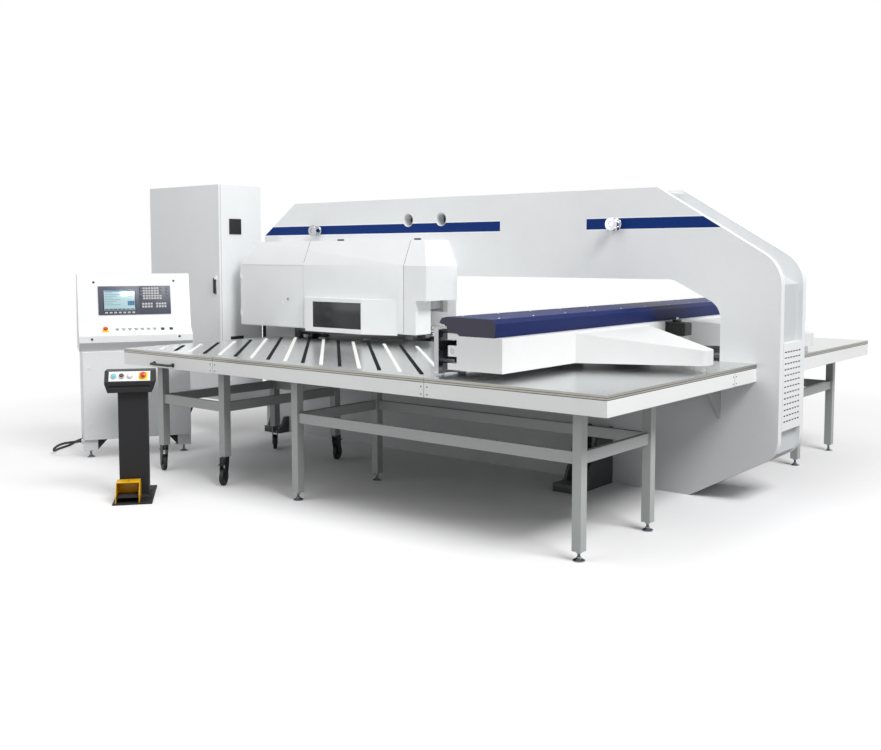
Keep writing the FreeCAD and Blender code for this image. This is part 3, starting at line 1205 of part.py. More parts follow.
def console():
    """Console body, control unit, screen, push buttons, emergency stop and lower door."""
    half = S.console_body
    depth = S.console_depth
    low = S.console_low
    waist = S.console_waist
    top = S.console_top
    lip = -S.console_lip
    wall = 15
    floor = box("console_floor", (-half, half), (0, depth), (low, low + wall))
    back = box("console_back", (wall - half, half - wall), (depth - wall, depth), (low + wall, waist))
    brow = box("console_brow", (wall - half, half - wall), (0, wall), (waist - wall, waist))
    near = box("console_side", (-half, wall - half), (0, depth), (low + wall, waist))
    gland = rod("console_gland", 20, 20, -half - 18, 60, 135, "X")
    far = box("console_side_far", (half - wall, half), (0, depth), (low + wall, waist))
    head_side = [(0, waist), (lip, waist + 74), (lip, waist + 129), (30, waist + 183), (130, top),
                 (300, top), (depth - 40, waist + 214), (depth - 40, waist)]
    head = prism("console_head", "YZ", -S.console_half, S.console_half * 2, head_side)
    room_side = [(wall, waist - 5), (wall, waist), (lip + 12, waist + 79), (lip + 12, waist + 122),
                 (42, waist + 174), (141, top - wall), (290, top - wall), (depth - 55, waist + 208),
                 (depth - 55, waist - 5)]
    room = prism("console_head_room", "YZ", wall - half, half * 2 - wall * 2, room_side)
    panels = [floor, back, brow, near, far, cut("console_head_shell", head, [room])]
    for number, (x, y) in enumerate(console_legs()):
        leg = box("console_leg_%d" % number, span(x, 110), span(y, 100), (62, low))
        panels.append(fuse("console_gland_leg", [leg, gland]) if number == 0 else leg)
    node("console_body", group("console_panels", panels), CONSOLE)

    wide = S.unit_width / 2
    rise = (top - waist - 183)
    lean = math.degrees(math.atan2(100, float(rise)))
    stretch = 1 / math.cos(math.radians(lean))
    panel_low = (S.unit_low - waist - 183) * stretch
    panel_high = (S.unit_high - waist - 183) * stretch
    left = -wide
    bezel = box("unit_bezel", (left, left + S.unit_width), (-10, 0), (panel_low, panel_high))
    seam = box("unit_seam", span(39, 2), (-12, -8), (panel_low - 5, panel_high + 5))
    screen_place = (left + 46, left + 291)
    window = box("unit_window", screen_place, (-12, -5), (panel_low + 36, panel_high - 32))
    keys = []
    for row in range(5):
        for column in range(5):
            keys.append(box("key_%d_%d" % (row, column), span(72 + column * 46, 34), (-13, -10),
                            span(panel_high - 35 - row * 36, 24)))
    for column in range(7):
        keys.append(box("soft_key_%d" % column, span(left + 62 + column * 36, 22), (-13, -10),
                        span(panel_low + 16, 14)))
    unit = fuse("unit_whole", [cut("unit_plate", bezel, [seam, window])] + keys)
    node("control_unit", group("control_unit_group", [tilted(unit, 30, waist + 183, -lean)]), CONSOLE)
    pane = box("screen_pane", (screen_place[0] + 0.5, screen_place[1] - 0.5), (-9, -5),
               (panel_low + 36.5, panel_high - 32.5))
    node("control_screen", group("control_screen_group", [tilted(pane, 30, waist + 183, -lean)]), CONSOLE)

    slope = math.degrees(math.atan2(54, 100))
    controls = []
    for number, x in enumerate((-150, -100, -50, 0, 50, 100, 150, 215, 285)):
        controls.append(box("console_button_%d" % number, span(x, 22), span(84, 22), (0, 10)))
    collar = box("console_estop_collar", span(-244, 48), span(80, 48), (0, 12))
    bore = rod("console_estop_bore", 10 + S.running, 20, -244, 80, -2)
    controls.append(cut("console_estop_ring", collar, [bore]))
    row = group("console_control_row", controls)
    node("console_controls", group("console_control_group", [tilted(row, lip, waist + 129, slope)]), CONSOLE)
    stop = mushroom("console_stop", -244, 80)
    node("console_estop", group("console_estop_group", [tilted(stop, lip, waist + 129, slope)]), CONSOLE)

    leaf = box("console_leaf", (-half + 3, half - 3), (-18, -S.fit), (low + 5, waist - 8))
    back = box("console_leaf_hollow", (-half + 20, half - 20), (-15, 5), (low + 22, waist - 25))
    tray = cut("console_leaf_tray", leaf, [back])
    locks = [rod("console_lock_%d" % n, 12, 6, -379, -23, z, "Y") for n, z in enumerate((285, 750))]
    node("console_door", fuse("console_door_body", [tray] + locks), CONSOLE)


def mushroom(name, x, y):
    """The sliding head of an emergency stop."""
    stem = rod(name + "_stem", 10, 15, x, y, 7)
    head = rod(name + "_head", S.estop_radius, 12, x, y, 20)
    return fuse(name, [stem, head])


def cable():
    """The cable that lies on the floor between the console and the cabinet."""
    points = CABLE
    edges = []
    radii = []
    start = Vector(*points[0])
    for before, here, after in zip(points, points[1:], points[2:]):
        before, here, after = Vector(*before), Vector(*here), Vector(*after)
        inward = (before - here).normalize()
        outward = (after - here).normalize()
        turn = math.pi - inward.getAngle(outward)
        run = 0.45 * min((before - here).Length, (after - here).Length)
        if turn < 0.01:
            continue
        radius = run / math.tan(turn / 2)
        radii.append(round(radius))
        first = here + inward * run
        last = here + outward * run
        bisector = (inward + outward).normalize()
        centre = here + bisector * (radius / math.cos(turn / 2))
        middle = centre - bisector * radius
        edges.append(Part.LineSegment(start, first).toShape())
        edges.append(Part.Arc(first, middle, last).toShape())
        start = last
    edges.append(Part.LineSegment(start, Vector(*points[-1])).toShape())
    print("cable bend radii in mm:", radii)
    path = doc.addObject("Part::Feature", "cable_path")
    path.Shape = Part.Wire(edges)
    ring = doc.addObject("Part::Circle", "cable_ring")
    bind(ring, "Radius", S.cable_radius)
    way = Vector(*points[1]) - Vector(*points[0])
    ring.Placement = FreeCAD.Placement(Vector(*points[0]), FreeCAD.Rotation(Vector(0, 0, 1), way))
    sweep = doc.addObject("Part::Sweep", "cable_sweep")
    sweep.Sections = [ring]
    sweep.Spine = (path, ["Edge%d" % (n + 1) for n in range(len(edges))])
    sweep.Solid = True
    sweep.Frenet = False
    node("console_cable", sweep)


CABLE = [
    (2162.463, -2613.670, 135), (2275.721, -2677.488, 135), (2262, -2860, 70), (2200, -2990, 10),
    (2090, -3080, 10), (1940, -3150, 10), (1800, -3290, 10), (1600, -3400, 10), (1330, -3410, 10),
    (1080, -3370, 10), (640, -3420, 10), (520, -3250, 120), (520, -3250, 390),
]


# ---------------------------------------------------------------- pedal stand

STAND = (2852, -890, 0, FreeCAD.Rotation(Vector(0, 0, 1), 141.03))


def pedal_stand():
    """Floor stand with an emergency stop, three push buttons and a guarded foot pedal."""
    wide = S.stand_base_width / 2
    base = box("stand_base", (-wide, wide), (0, S.stand_base_length), (0, 12))
    column = box("stand_column", span(0, S.stand_column), (200, 330), (12, S.stand_top - 140))
    foot = box("stand_flange", span(0, S.stand_column + 50), (180, 350), (12, 20))
    half = S.stand_head / 2
    middle = -14
    top = S.stand_top
    front = [(middle - half + 20, top - 146), (middle - half, top - 86), (middle - half, top),
             (middle + half, top), (middle + half, top - 86), (middle + half - 20, top - 146)]
    side = [(150, top - 146), (150, top - 72), (198, top), (330, top), (330, top - 146)]
    head = common("stand_head", prism("stand_head_front", "XZ", 150, 180, front),
                  prism("stand_head_side", "YZ", middle - half, S.stand_head, side))
    grip = box("stand_grip", span(middle, S.stand_head - 60), (145, 162), (top - 112, top - 96))
    node("pedestal_stand", cut("stand_body", fuse("stand_solid", [base, column, foot, head]), [grip]), STAND)

    angle = math.degrees(math.atan2(72, 48))
    spots = (("pedestal_button_1", -118), ("pedestal_button_2", -66), ("pedestal_button_3", -12))
    collars = []
    for name, x in spots:
        wide = S.button_radius * 2 + 10
        ring = box(name + "_collar", span(x, wide), span(44, wide), (0, 12))
        hole = rod(name + "_collar_bore", S.button_radius + S.running, 20, x, 44, -2)
        collars.append(cut(name + "_ring", ring, [hole]))
        cap = rod(name + "_cap", S.button_radius, 13, x, 44, 5)
        node(name, group(name + "_group", [tilted(cap, 150, top - 72, angle)]), STAND)
    plate = box("stop_plate", span(76, 60), (14, 74), (0, 3))
    ring = box("stop_collar", span(76, 46), span(44, 46), (0, 12))
    hole = rod("stop_bore", 10 + S.running, 20, 76, 44, -2)
    collars.append(cut("stop_ring", fuse("stop_ring_solid", [plate, ring]), [hole]))
    rings = group("stand_ring_set", collars)
    stop = mushroom("stand_stop", 76, 44)
    node("pedestal_estop", group("pedestal_estop_group", [tilted(stop, 150, top - 72, angle)]), STAND)

    across = (-109, 47)
    shell = box("guard_shell", across, (4, 180), (12, 140))
    hollow = box("guard_hollow", (across[0] + 4, across[1] - 4), (0, 176), (12, 136))
    slope = prism("guard_slope", "YZ", across[0] - 5, 170, [(0, 60), (70, 145), (0, 145)])
    bore = rod("guard_bore", 5 + S.running, 200, across[0] - 20, 160, 42, "X")
    guard = cut("guard_body", shell, [hollow, slope, bore])
    node("pedal_guard", group("guard_group", [guard, tilted(rings, 150, top - 72, angle)]), STAND)
    tread = [(24, 44), (24, 52), (166, 50), (166, 34), (150, 34)]
    pedal = prism("pedal_tread", "YZ", across[0] + 4.3, 147.4, tread)
    pin = rod("pedal_pin", 5, 156, across[0], 160, 42, "X")
    node("foot_pedal", fuse("foot_pedal_body", [pedal, pin]), STAND)


main_frame()
frame_details()
ram_unit()
turret()
covers()
beam()
cabinet()
tables()
castors()
console()
pedal_stand()
feet()
cable()
doc.recompute()

# ---------------------------------------------------------------- files

for thing in doc.Objects:
    if "Invalid" in thing.State or "Error" in thing.State:
        raise RuntimeError("%s did not build: %s" % (thing.Label, thing.State))
os.makedirs("parts", exist_ok=True)
for thing in NODES:
    shape = thing.Shape
    if shape.isNull() or not shape.isValid() or not shape.Solids:
        raise RuntimeError("%s has no valid solid" % thing.Label)
    shape.exportStep("parts/%s.step" % thing.Label)
doc.saveAs("part.FCStd")
print("wrote %d pieces" % len(NODES))
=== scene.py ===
"""Finishes, cable and fine parts of a turret punch press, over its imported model."""

import math

import bmesh
import bpy
from mathutils import Matrix, Vector


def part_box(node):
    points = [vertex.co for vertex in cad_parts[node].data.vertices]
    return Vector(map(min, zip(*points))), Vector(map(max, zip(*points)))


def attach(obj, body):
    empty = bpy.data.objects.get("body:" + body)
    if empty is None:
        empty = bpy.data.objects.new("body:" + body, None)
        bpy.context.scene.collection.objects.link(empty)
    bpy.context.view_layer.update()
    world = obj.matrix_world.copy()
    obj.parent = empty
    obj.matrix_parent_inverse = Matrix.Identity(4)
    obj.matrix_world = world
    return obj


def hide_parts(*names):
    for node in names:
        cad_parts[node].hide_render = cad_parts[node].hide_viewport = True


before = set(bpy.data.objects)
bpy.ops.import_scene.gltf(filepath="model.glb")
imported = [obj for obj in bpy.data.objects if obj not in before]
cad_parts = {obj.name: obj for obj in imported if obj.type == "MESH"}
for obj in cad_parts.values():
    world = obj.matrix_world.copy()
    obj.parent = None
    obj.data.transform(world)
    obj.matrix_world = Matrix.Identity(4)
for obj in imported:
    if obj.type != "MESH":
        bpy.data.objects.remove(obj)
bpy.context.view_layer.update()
scene = bpy.context.scene
scene.view_settings.view_transform = "Standard"

# ------------------------------------------------------------------ camera
PHOTO_WIDTH = 881.0
PHOTO_HEIGHT = 750.0
FOCAL_PIXELS = 1019.0
CAMERA_PLACE = (6.790, 4.959, 1.669)
CAMERA_YAW = math.radians(38.971)
CAMERA_PITCH = math.radians(4.162)
HORIZON_ROW = 330.0


def add_camera():
    """The camera at the photograph's place, angle and framing."""
    lens = bpy.data.cameras.new("press_camera")
    lens.sensor_width = 36.0
    lens.lens = FOCAL_PIXELS / PHOTO_WIDTH * lens.sensor_width
    lens.shift_y = (HORIZON_ROW - PHOTO_HEIGHT / 2) / PHOTO_WIDTH
    lens.clip_end = 200.0
    camera = bpy.data.objects.new("press_camera", lens)
    scene.collection.objects.link(camera)
    level = math.cos(CAMERA_PITCH)
    look = Vector((-math.cos(CAMERA_YAW) * level, -math.sin(CAMERA_YAW) * level, -math.sin(CAMERA_PITCH)))
    camera.rotation_euler = look.to_track_quat("-Z", "Y").to_euler()
    camera.location = CAMERA_PLACE
    scene.camera = camera


# ------------------------------------------------------------------ materials
class Sum:
    """A socket of a material, on which sums are written as expressions."""

    def __init__(self, tree, socket):
        self.tree = tree
        self.socket = socket

    def math(self, operation, first, second=None):
        node = self.tree.nodes.new("ShaderNodeMath")
        node.operation = operation
        for slot, value in zip(node.inputs, (first, second)):
            if isinstance(value, Sum):
                self.tree.links.new(value.socket, slot)
            elif value is not None:
                slot.default_value = value
        return Sum(self.tree, node.outputs[0])

    def __add__(self, other):
        return self.math("ADD", self, other)

    def __radd__(self, other):
        return self.math("ADD", other, self)

    def __sub__(self, other):
        return self.math("SUBTRACT", self, other)

    def __rsub__(self, other):
        return self.math("SUBTRACT", other, self)

    def __mul__(self, other):
        return self.math("MULTIPLY", self, other)

    def __rmul__(self, other):
        return self.math("MULTIPLY", other, self)

    def __truediv__(self, other):
        return self.math("DIVIDE", self, other)

    def __gt__(self, other):
        return self.math("GREATER_THAN", self, other)

    def __lt__(self, other):
        return self.math("LESS_THAN", self, other)

    def __abs__(self):
        return self.math("ABSOLUTE", self)

    def clipped(self):
        node = self.math("ADD", self, 0.0)
        node.socket.node.use_clamp = True
        return node


class Nodes:
    """A tree of shader nodes, with one method that adds a node of any type."""

    def __init__(self, tree):
        self.tree = tree

    def node(self, kind, settings=None, sockets=None, output=0):
        """A node of any type: its settings first, then the values or links of its sockets."""
        node = self.tree.nodes.new(kind)
        for name, value in (settings or {}).items():
            setattr(node, name, value)
        for name, value in (sockets or {}).items():
            self.plug(node.inputs[name], value)
        return Sum(self.tree, node.outputs[output])

    def plug(self, socket, value):
        if isinstance(value, Sum):
            self.tree.links.new(value.socket, socket)
        elif hasattr(value, "__len__") and len(value) == 3 and len(socket.default_value) == 4:
            socket.default_value = (*value, 1.0)
        else:
            socket.default_value = value

    def seen_rays(self):
        """One where the camera sees a surface straight, in a mirror or through glass, else nought."""
        kinds = ("Is Camera Ray", "Is Glossy Ray", "Is Transmission Ray")
        straight, glossy, clear = (self.node("ShaderNodeLightPath", output=kind) for kind in kinds)
        return (straight + glossy + clear).clipped()


class Finish(Nodes):
    """One material, made node by node around its Principled shader."""

    def __init__(self, name):
        self.material = bpy.data.materials.new(name)
        self.material.use_nodes = True
        super().__init__(self.material.node_tree)
        self.shader = self.tree.nodes["Principled BSDF"]

    def set(self, **values):
        """Sets or links the shader's sockets: base_color becomes Base Color."""
        for name, value in values.items():
            title = name.replace("_", " ").title().replace("Ior", "IOR")
            self.plug(self.shader.inputs[title], value)

    def place(self, turn=(0, 0, 0), scale=(1, 1, 1)):
        """Object coordinates, turned and stretched."""
        spot = self.node("ShaderNodeTexCoord", output="Object")
        return self.node("ShaderNodeMapping", None, {"Vector": spot, "Rotation": turn, "Scale": scale})

    def noise(self, scale, detail=3.0, rough=0.5, stretch=(1, 1, 1), turn=(0, 0, 0)):
        where = self.place(turn, stretch)
        return self.node("ShaderNodeTexNoise", None,
                         {"Vector": where, "Scale": scale, "Detail": detail, "Roughness": rough})

    def blend(self, factor, low, high):
        """A colour between two, by a factor."""
        return self.node("ShaderNodeMix", {"data_type": "RGBA"}, {0: factor, 6: low, 7: high}, 2)

    def bump(self, height, strength=0.2, distance=0.001):
        normal = self.node("ShaderNodeBump", None,
                           {"Height": height, "Strength": strength, "Distance": distance})
        self.plug(self.shader.inputs["Normal"], normal)


def shade(colour, amount):
    """A colour made lighter or darker."""
    return tuple(min(1.0, part * amount) for part in colour)


def srgb(red, green, blue):
    """A colour given as it looks on screen, 0 to 255."""
    def linear(value):
        value = value / 255
        return value / 12.92 if value <= 0.04045 else ((value + 0.055) / 1.055) ** 2.4
    return (linear(red), linear(green), linear(blue))


def enamel(name, colour, rough=0.42, mottle=0.04, peel=0.25, gloss=0.5):
    """Sprayed enamel: faint mottling, orange peel and a little dust in the gloss."""
    finish = Finish(name)
    broad = finish.noise(2.2, 4.0, 0.6)
    fine = finish.noise(90.0, 2.0)
    tone = (broad * 0.7 + fine * 0.3 - 0.5) * 2.0 + 0.5
    finish.set(base_color=finish.blend(tone.clipped(), shade(colour, 1 - mottle), shade(colour, 1 + mottle)))
    finish.set(roughness=(rough - 0.05) + broad * 0.1, specular_ior_level=gloss)
    finish.bump(finish.noise(420.0, 2.0), peel, 0.0004)
    return finish.material


def metal(name, colour, rough=0.3, grain=None, spread=0.12, tone=0.12):
    """Bare or plated metal. grain stretches the machining marks along an axis."""
    finish = Finish(name)
    marks = finish.noise(160.0, 4.0, 0.6, grain or (1, 1, 1))
    broad = finish.noise(7.0, 3.0)
    finish.set(base_color=finish.blend(marks, shade(colour, 1 - tone), shade(colour, 1 + tone)))
    finish.set(metallic=1.0, roughness=(marks * 0.6 + broad * 0.4) * spread + (rough - spread / 2))
    finish.bump(marks, 0.12, 0.0003)
    return finish.material


def moulded(name, colour, rough=0.45, mottle=0.08, coat=0.0, gloss=0.5):
    """Moulded plastic or rubber with a fine grain and rubbed lighter patches."""
    finish = Finish(name)
    broad = finish.noise(14.0, 4.0, 0.6)
    finish.set(base_color=finish.blend(broad, shade(colour, 1 - mottle), shade(colour, 1 + mottle)))
    finish.set(roughness=(rough - 0.06) + broad * 0.12, coat_weight=coat, coat_roughness=0.08,
               specular_ior_level=gloss)
    finish.bump(finish.noise(900.0, 2.0), 0.2, 0.0002)
    return finish.material


LAYER_JOINT = 0.9375
LAYER_JOINT_HALF = 0.0013
LAYERS_LOW = 0.9262


def layered_edge():
    """The plates' edge: brushed layers with a dark line between them and one under them."""
    finish = Finish("edge_band")
    spot = finish.node("ShaderNodeTexCoord", output="Object")
    height = finish.node("ShaderNodeSeparateXYZ", None, {"Vector": spot}, "Z")
    line = ((abs(height - LAYER_JOINT) < LAYER_JOINT_HALF) + (height < LAYERS_LOW)).clipped()
    marks = finish.noise(160.0, 4.0, 0.6, (0.05, 0.05, 1))
    brushed = finish.blend(marks, srgb(150, 147, 140), srgb(188, 186, 180))
    finish.set(base_color=finish.blend(line, brushed, srgb(58, 57, 54)), metallic=1.0)
    finish.set(roughness=marks * 0.1 + 0.36)
    finish.bump(marks, 0.12, 0.0003)
    return finish.material


def screen_face():
    """The pale ground of the dimly lit screen, under its smooth pane."""
    finish = Finish("screen_lit")
    broad = finish.noise(6.0, 2.0)
    colour = finish.blend(broad, srgb(158, 190, 198), srgb(190, 214, 218))
    finish.set(base_color=colour, roughness=broad * 0.05 + 0.18, coat_weight=0.5, coat_roughness=0.05)
    finish.bump(finish.noise(700.0, 1.0), 0.05, 0.0001)
    return finish.material


WHITE = srgb(232, 234, 235)
PALE_LEG = srgb(176, 180, 178)
NAVY = srgb(2, 24, 84)
STRIPE_BLUE = srgb(2, 44, 112)
CHARCOAL = srgb(34, 34, 36)
BEZEL = srgb(66, 69, 84)


def make_finishes():
    """Every material of the press, by the name its pieces use."""
    return {
        "press_white": enamel("press_white", WHITE),
        "leg_grey": enamel("leg_grey", PALE_LEG, 0.4),
        "skirt_white": enamel("skirt_white", srgb(236, 237, 236), 0.38),
        "stripe_blue": enamel("stripe_blue", STRIPE_BLUE, 0.5, 0.06, 0.2, 0.15),
        "stripe_white": enamel("stripe_white", srgb(248, 249, 250), 0.35, 0.01),
        "navy_gloss": enamel("navy_gloss", NAVY, 0.46, 0.1, 0.2, 0.2),
        "charcoal": enamel("charcoal", CHARCOAL, 0.46, 0.12, 0.25, 0.3),
        "dark_foot": enamel("dark_foot", srgb(74, 76, 78), 0.5, 0.1),
        "guard_yellow": enamel("guard_yellow", srgb(232, 178, 0), 0.35, 0.06),
        "plate_steel": metal("plate_steel", srgb(214, 216, 216), 0.24, (1, 0.02, 1), 0.14),
        "edge_band": layered_edge(),
        "chromed": metal("chromed", srgb(186, 188, 192), 0.16, None, 0.06, 0.06),
        "ground_steel": metal("ground_steel", srgb(176, 178, 182), 0.28, (0.05, 1, 1)),
        "dark_steel": metal("dark_steel", srgb(72, 73, 76), 0.36),
        "cast_grey": enamel("cast_grey", srgb(96, 100, 104), 0.5, 0.12, 0.6),
        "black_motor": enamel("black_motor", srgb(26, 26, 28), 0.38, 0.15),
        "black_plastic": moulded("black_plastic", srgb(30, 30, 32)),
        "rubber": moulded("rubber", srgb(38, 38, 40), 0.62),
        "brush_black": moulded("brush_black", srgb(20, 20, 20), 0.85, 0.1, 0.0, 0.08),
        "brush_white": moulded("brush_white", srgb(232, 232, 228), 0.6),
        "bezel_blue": moulded("bezel_blue", BEZEL, 0.4, 0.05),
        "key_grey": moulded("key_grey", srgb(176, 178, 176), 0.45, 0.05),
        "stop_red": moulded("stop_red", srgb(206, 22, 18), 0.25, 0.05, 0.6),
        "stop_yellow": moulded("stop_yellow", srgb(244, 204, 10), 0.35, 0.04, 0.2),
        # dark rubber for seams and joints, also used as the painted shade of the turrets' key slots
        "seam_and_slot_shade": moulded("seam_and_slot_shade", srgb(52, 54, 56), 0.6),
        # a darker white used as painted shade on the recessed web of the frame's tail
        "web_painted_shade": enamel("web_painted_shade", srgb(200, 203, 205), 0.5),
        "beam_white": enamel("beam_white", srgb(226, 227, 227), 0.42),
        "screen_blue": moulded("screen_blue", srgb(58, 110, 150), 0.25, 0.04, 0.4),
        "screen_line": moulded("screen_line", srgb(120, 140, 150), 0.25, 0.04, 0.4),
        "screen_dark": moulded("screen_dark", srgb(60, 78, 96), 0.25, 0.04, 0.4),
        "navy_end": enamel("navy_end", srgb(40, 38, 58), 0.45, 0.12),
        "smoked_glass": moulded("smoked_glass", srgb(34, 35, 37), 0.2, 0.1, 0.0, 0.45),
        "wheel_hub": moulded("wheel_hub", srgb(58, 60, 64), 0.4, 0.12),
        "bezel_dark": moulded("bezel_dark", srgb(34, 35, 44), 0.35, 0.06),
        "key_dark": moulded("key_dark", srgb(92, 98, 112), 0.45, 0.05),
        "key_white": moulded("key_white", srgb(232, 232, 228), 0.35, 0.03, 0.2),
        "button_green": moulded("button_green", srgb(38, 128, 86), 0.3, 0.05, 0.3),
        "button_cyan": moulded("button_cyan", srgb(90, 196, 214), 0.25, 0.05, 0.4),
        "button_brown": moulded("button_brown", srgb(74, 52, 44), 0.3, 0.08, 0.3),
        "screen_lit": screen_face(),
    }


PAINT = make_finishes()


# ------------------------------------------------------------------ pieces on their bodies
def mount(piece, body, nodes=()):
    """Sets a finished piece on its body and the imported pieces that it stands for."""
    scene.collection.objects.link(piece)
    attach(piece, body)
    if nodes:
        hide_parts(*nodes)
    return piece


def line_through(name, kind, path):
    """A curve with one spline through the given points."""
    curve = bpy.data.curves.new(name, "CURVE")
    curve.dimensions = "3D"
    spline = curve.splines.new(kind)
    spline.points.add(len(path) - 1)
    for point, spot in zip(spline.points, path):
        point.co = (*spot, 1.0)
    return curve


# ------------------------------------------------------------------ places of the console and the stand
CONSOLE = Matrix.Translation((1.799, -2.340, 0.0)) @ Matrix.Rotation(math.radians(150.6), 4, "Z")
STAND = Matrix.Translation((2.852, -0.890, 0.0)) @ Matrix.Rotation(math.radians(141.03), 4, "Z")


def tilted(place, y, z, angle):
    """A plane of the console or stand, leant back about its lower edge, in metres and degrees."""
    return place @ Matrix.Translation((0, y, z)) @ Matrix.Rotation(math.radians(angle), 4, "X")


UNIT = tilted(CONSOLE, 0.030, 1.069, -12.58)
DESK = tilted(CONSOLE, -0.070, 1.015, 28.37)
HEAD = tilted(STAND, 0.150, 0.814, 56.31)


def at_console(x, y, z):
    """A point given in the console's own frame, as a place in the room, to the micrometre."""
    return tuple(round(part, 6) for part in CONSOLE @ Vector((x, y, z)))


# ------------------------------------------------------------------ cable
CABLE_DIAMETER = 0.020
CABLE_ROUTE = [
    at_console(-0.451, 0.060, 0.135), at_console(-0.581, 0.060, 0.135), (2.262, -2.860, 0.070),
    (2.200, -2.990, 0.010), (2.090, -3.080, 0.010), (1.940, -3.150, 0.010), (1.800, -3.290, 0.010),
    (1.600, -3.400, 0.010), (1.330, -3.410, 0.010), (1.080, -3.370, 0.010), (0.640, -3.420, 0.010),
    (0.520, -3.250, 0.120), (0.520, -3.250, 0.390),
]


def add_cable():
    """The cable from the console's leg, over the floor behind it, up into the cabinet's floor."""
    curve = line_through("floor_cable", "NURBS", CABLE_ROUTE)
    spline = curve.splines[0]
    spline.order_u = 3
    spline.use_endpoint_u = True
    spline.resolution_u = 12
    copy = bpy.data.objects.new("floor_cable_line", curve)
    line = bpy.data.meshes.new_from_object(copy)
    bpy.data.objects.remove(copy)
    bpy.data.meshes.remove(line)
    curve.bevel_depth = CABLE_DIAMETER / 2
    curve.bevel_resolution = 6
    curve.use_fill_caps = True
    curve.materials.append(PAINT["rubber"])
    cable = mount(bpy.data.objects.new("floor_cable", curve), "press", ["console_cable"])


# ------------------------------------------------------------------ making pieces
def publish(name, bm, paints, body, nodes=(), smooth=35.0):
    """Turns a finished bmesh into a painted piece of the press."""
    mesh = bpy.data.meshes.new(name)
    bm.to_mesh(mesh)
    bm.free()
    for paint in paints:
        mesh.materials.append(PAINT[paint])
    mesh.polygons.foreach_set("use_smooth", [True] * len(mesh.polygons))
    mesh.set_sharp_from_angle(angle=math.radians(smooth))
    return mount(bpy.data.objects.new(name, mesh), body, nodes)


class Form:
    """A piece drawn in its own frame, in metres, and then set on the press."""

    def __init__(self, name, place=None):
        self.name = name
        self.place = place or Matrix()
        self.bm = bmesh.new()

    def soften(self, verts, width):
        """Rounds the sharp edges between the given points."""
        self.bm.normal_update()
        inside = set(verts)
        picked = {edge for vert in inside for edge in vert.link_edges if edge.other_vert(vert) in inside
                  and len(edge.link_faces) == 2 and edge.calc_face_angle(0.0) > 0.4}
        bmesh.ops.bevel(self.bm, geom=list(picked), offset=width, segments=2, profile=0.5,
                        affect="EDGES", material=-1, clamp_overlap=True)

    def block(self, x, y, z, width=0.0, turn=None):
        """A rectangular piece between two values along each axis, turned about its middle."""
        ranges = [sorted(pair) for pair in (x, y, z)]
        centre = [(low + high) / 2 for low, high in ranges]
        size = [high - low for low, high in ranges]
        matrix = Matrix.Translation(centre) @ (turn or Matrix()) @ Matrix.Diagonal((*size, 1.0))
        made = bmesh.ops.create_cube(self.bm, size=1.0, matrix=matrix)
        if width:
            self.soften(made["verts"], width)

    def profile(self, axis, low, high, points, width=0.0):
        """A flat outline drawn across an axis and drawn out along it."""
        spots = {"X": lambda u, v: (low, u, v), "Y": lambda u, v: (u, low, v), "Z": lambda u, v: (u, v, low)}
        away = {"X": (high - low, 0, 0), "Y": (0, high - low, 0), "Z": (0, 0, high - low)}[axis]
        verts = [self.bm.verts.new(spots[axis](u, v)) for u, v in points]
        face = self.bm.faces.new(verts)
        grown = bmesh.ops.extrude_face_region(self.bm, geom=[face])
        moved = [item for item in grown["geom"] if isinstance(item, bmesh.types.BMVert)]
        bmesh.ops.translate(self.bm, verts=moved, vec=away)
        if width:
            self.soften(verts + moved, width)

    def turned(self, start, along, outline, steps=32):
        """A round piece: pairs of radius and distance, spun about a line."""
        whole = bmesh.new()
        verts = [whole.verts.new((radius, 0.0, height)) for radius, height in outline]
        edges = [whole.edges.new(pair) for pair in zip(verts, verts[1:])]
        bmesh.ops.spin(whole, geom=verts + edges, cent=(0, 0, 0), axis=(0, 0, 1), dvec=(0, 0, 0),
                       angle=math.tau, steps=steps, use_merge=True)
        bmesh.ops.remove_doubles(whole, verts=whole.verts, dist=1e-6)
        turn = Vector((0, 0, 1)).rotation_difference(Vector(along)).to_matrix().to_4x4()
        bmesh.ops.transform(whole, matrix=Matrix.Translation(start) @ turn, verts=whole.verts)
        mesh = bpy.data.meshes.new("turned")
        whole.to_mesh(mesh)
        whole.free()
        self.bm.from_mesh(mesh)
        bpy.data.meshes.remove(mesh)

    def rod(self, radius, start, end, width=0.0):
        """A round bar between two points, with its rims rounded."""
        line = Vector(end) - Vector(start)
        long = line.length
        rim = width or radius * 0.06
        outline = [(0.0, 0.0), (radius - rim, 0.0), (radius, rim), (radius, long - rim), (radius - rim, long),
                   (0.0, long)]
        self.turned(start, line.normalized(), outline)

    def screw(self, place, along, radius):
        """A button-head screw with a socket."""
        shares = [(0.0, 0.15), (0.42, 0.15), (0.45, 0.55), (0.7, 0.5), (0.95, 0.25), (1.0, 0.0)]
        self.turned(place, along, [(radius * out, radius * up) for out, up in shares], 12)

    def done(self, paint, body, nodes=(), smooth=35.0):
        """Turns its faces outwards, sets it in its place and publishes it."""
        bmesh.ops.recalc_face_normals(self.bm, faces=self.bm.faces)
        bmesh.ops.transform(self.bm, matrix=self.place, verts=self.bm.verts)
        publish(self.name, self.bm, [paint], body, nodes, smooth)


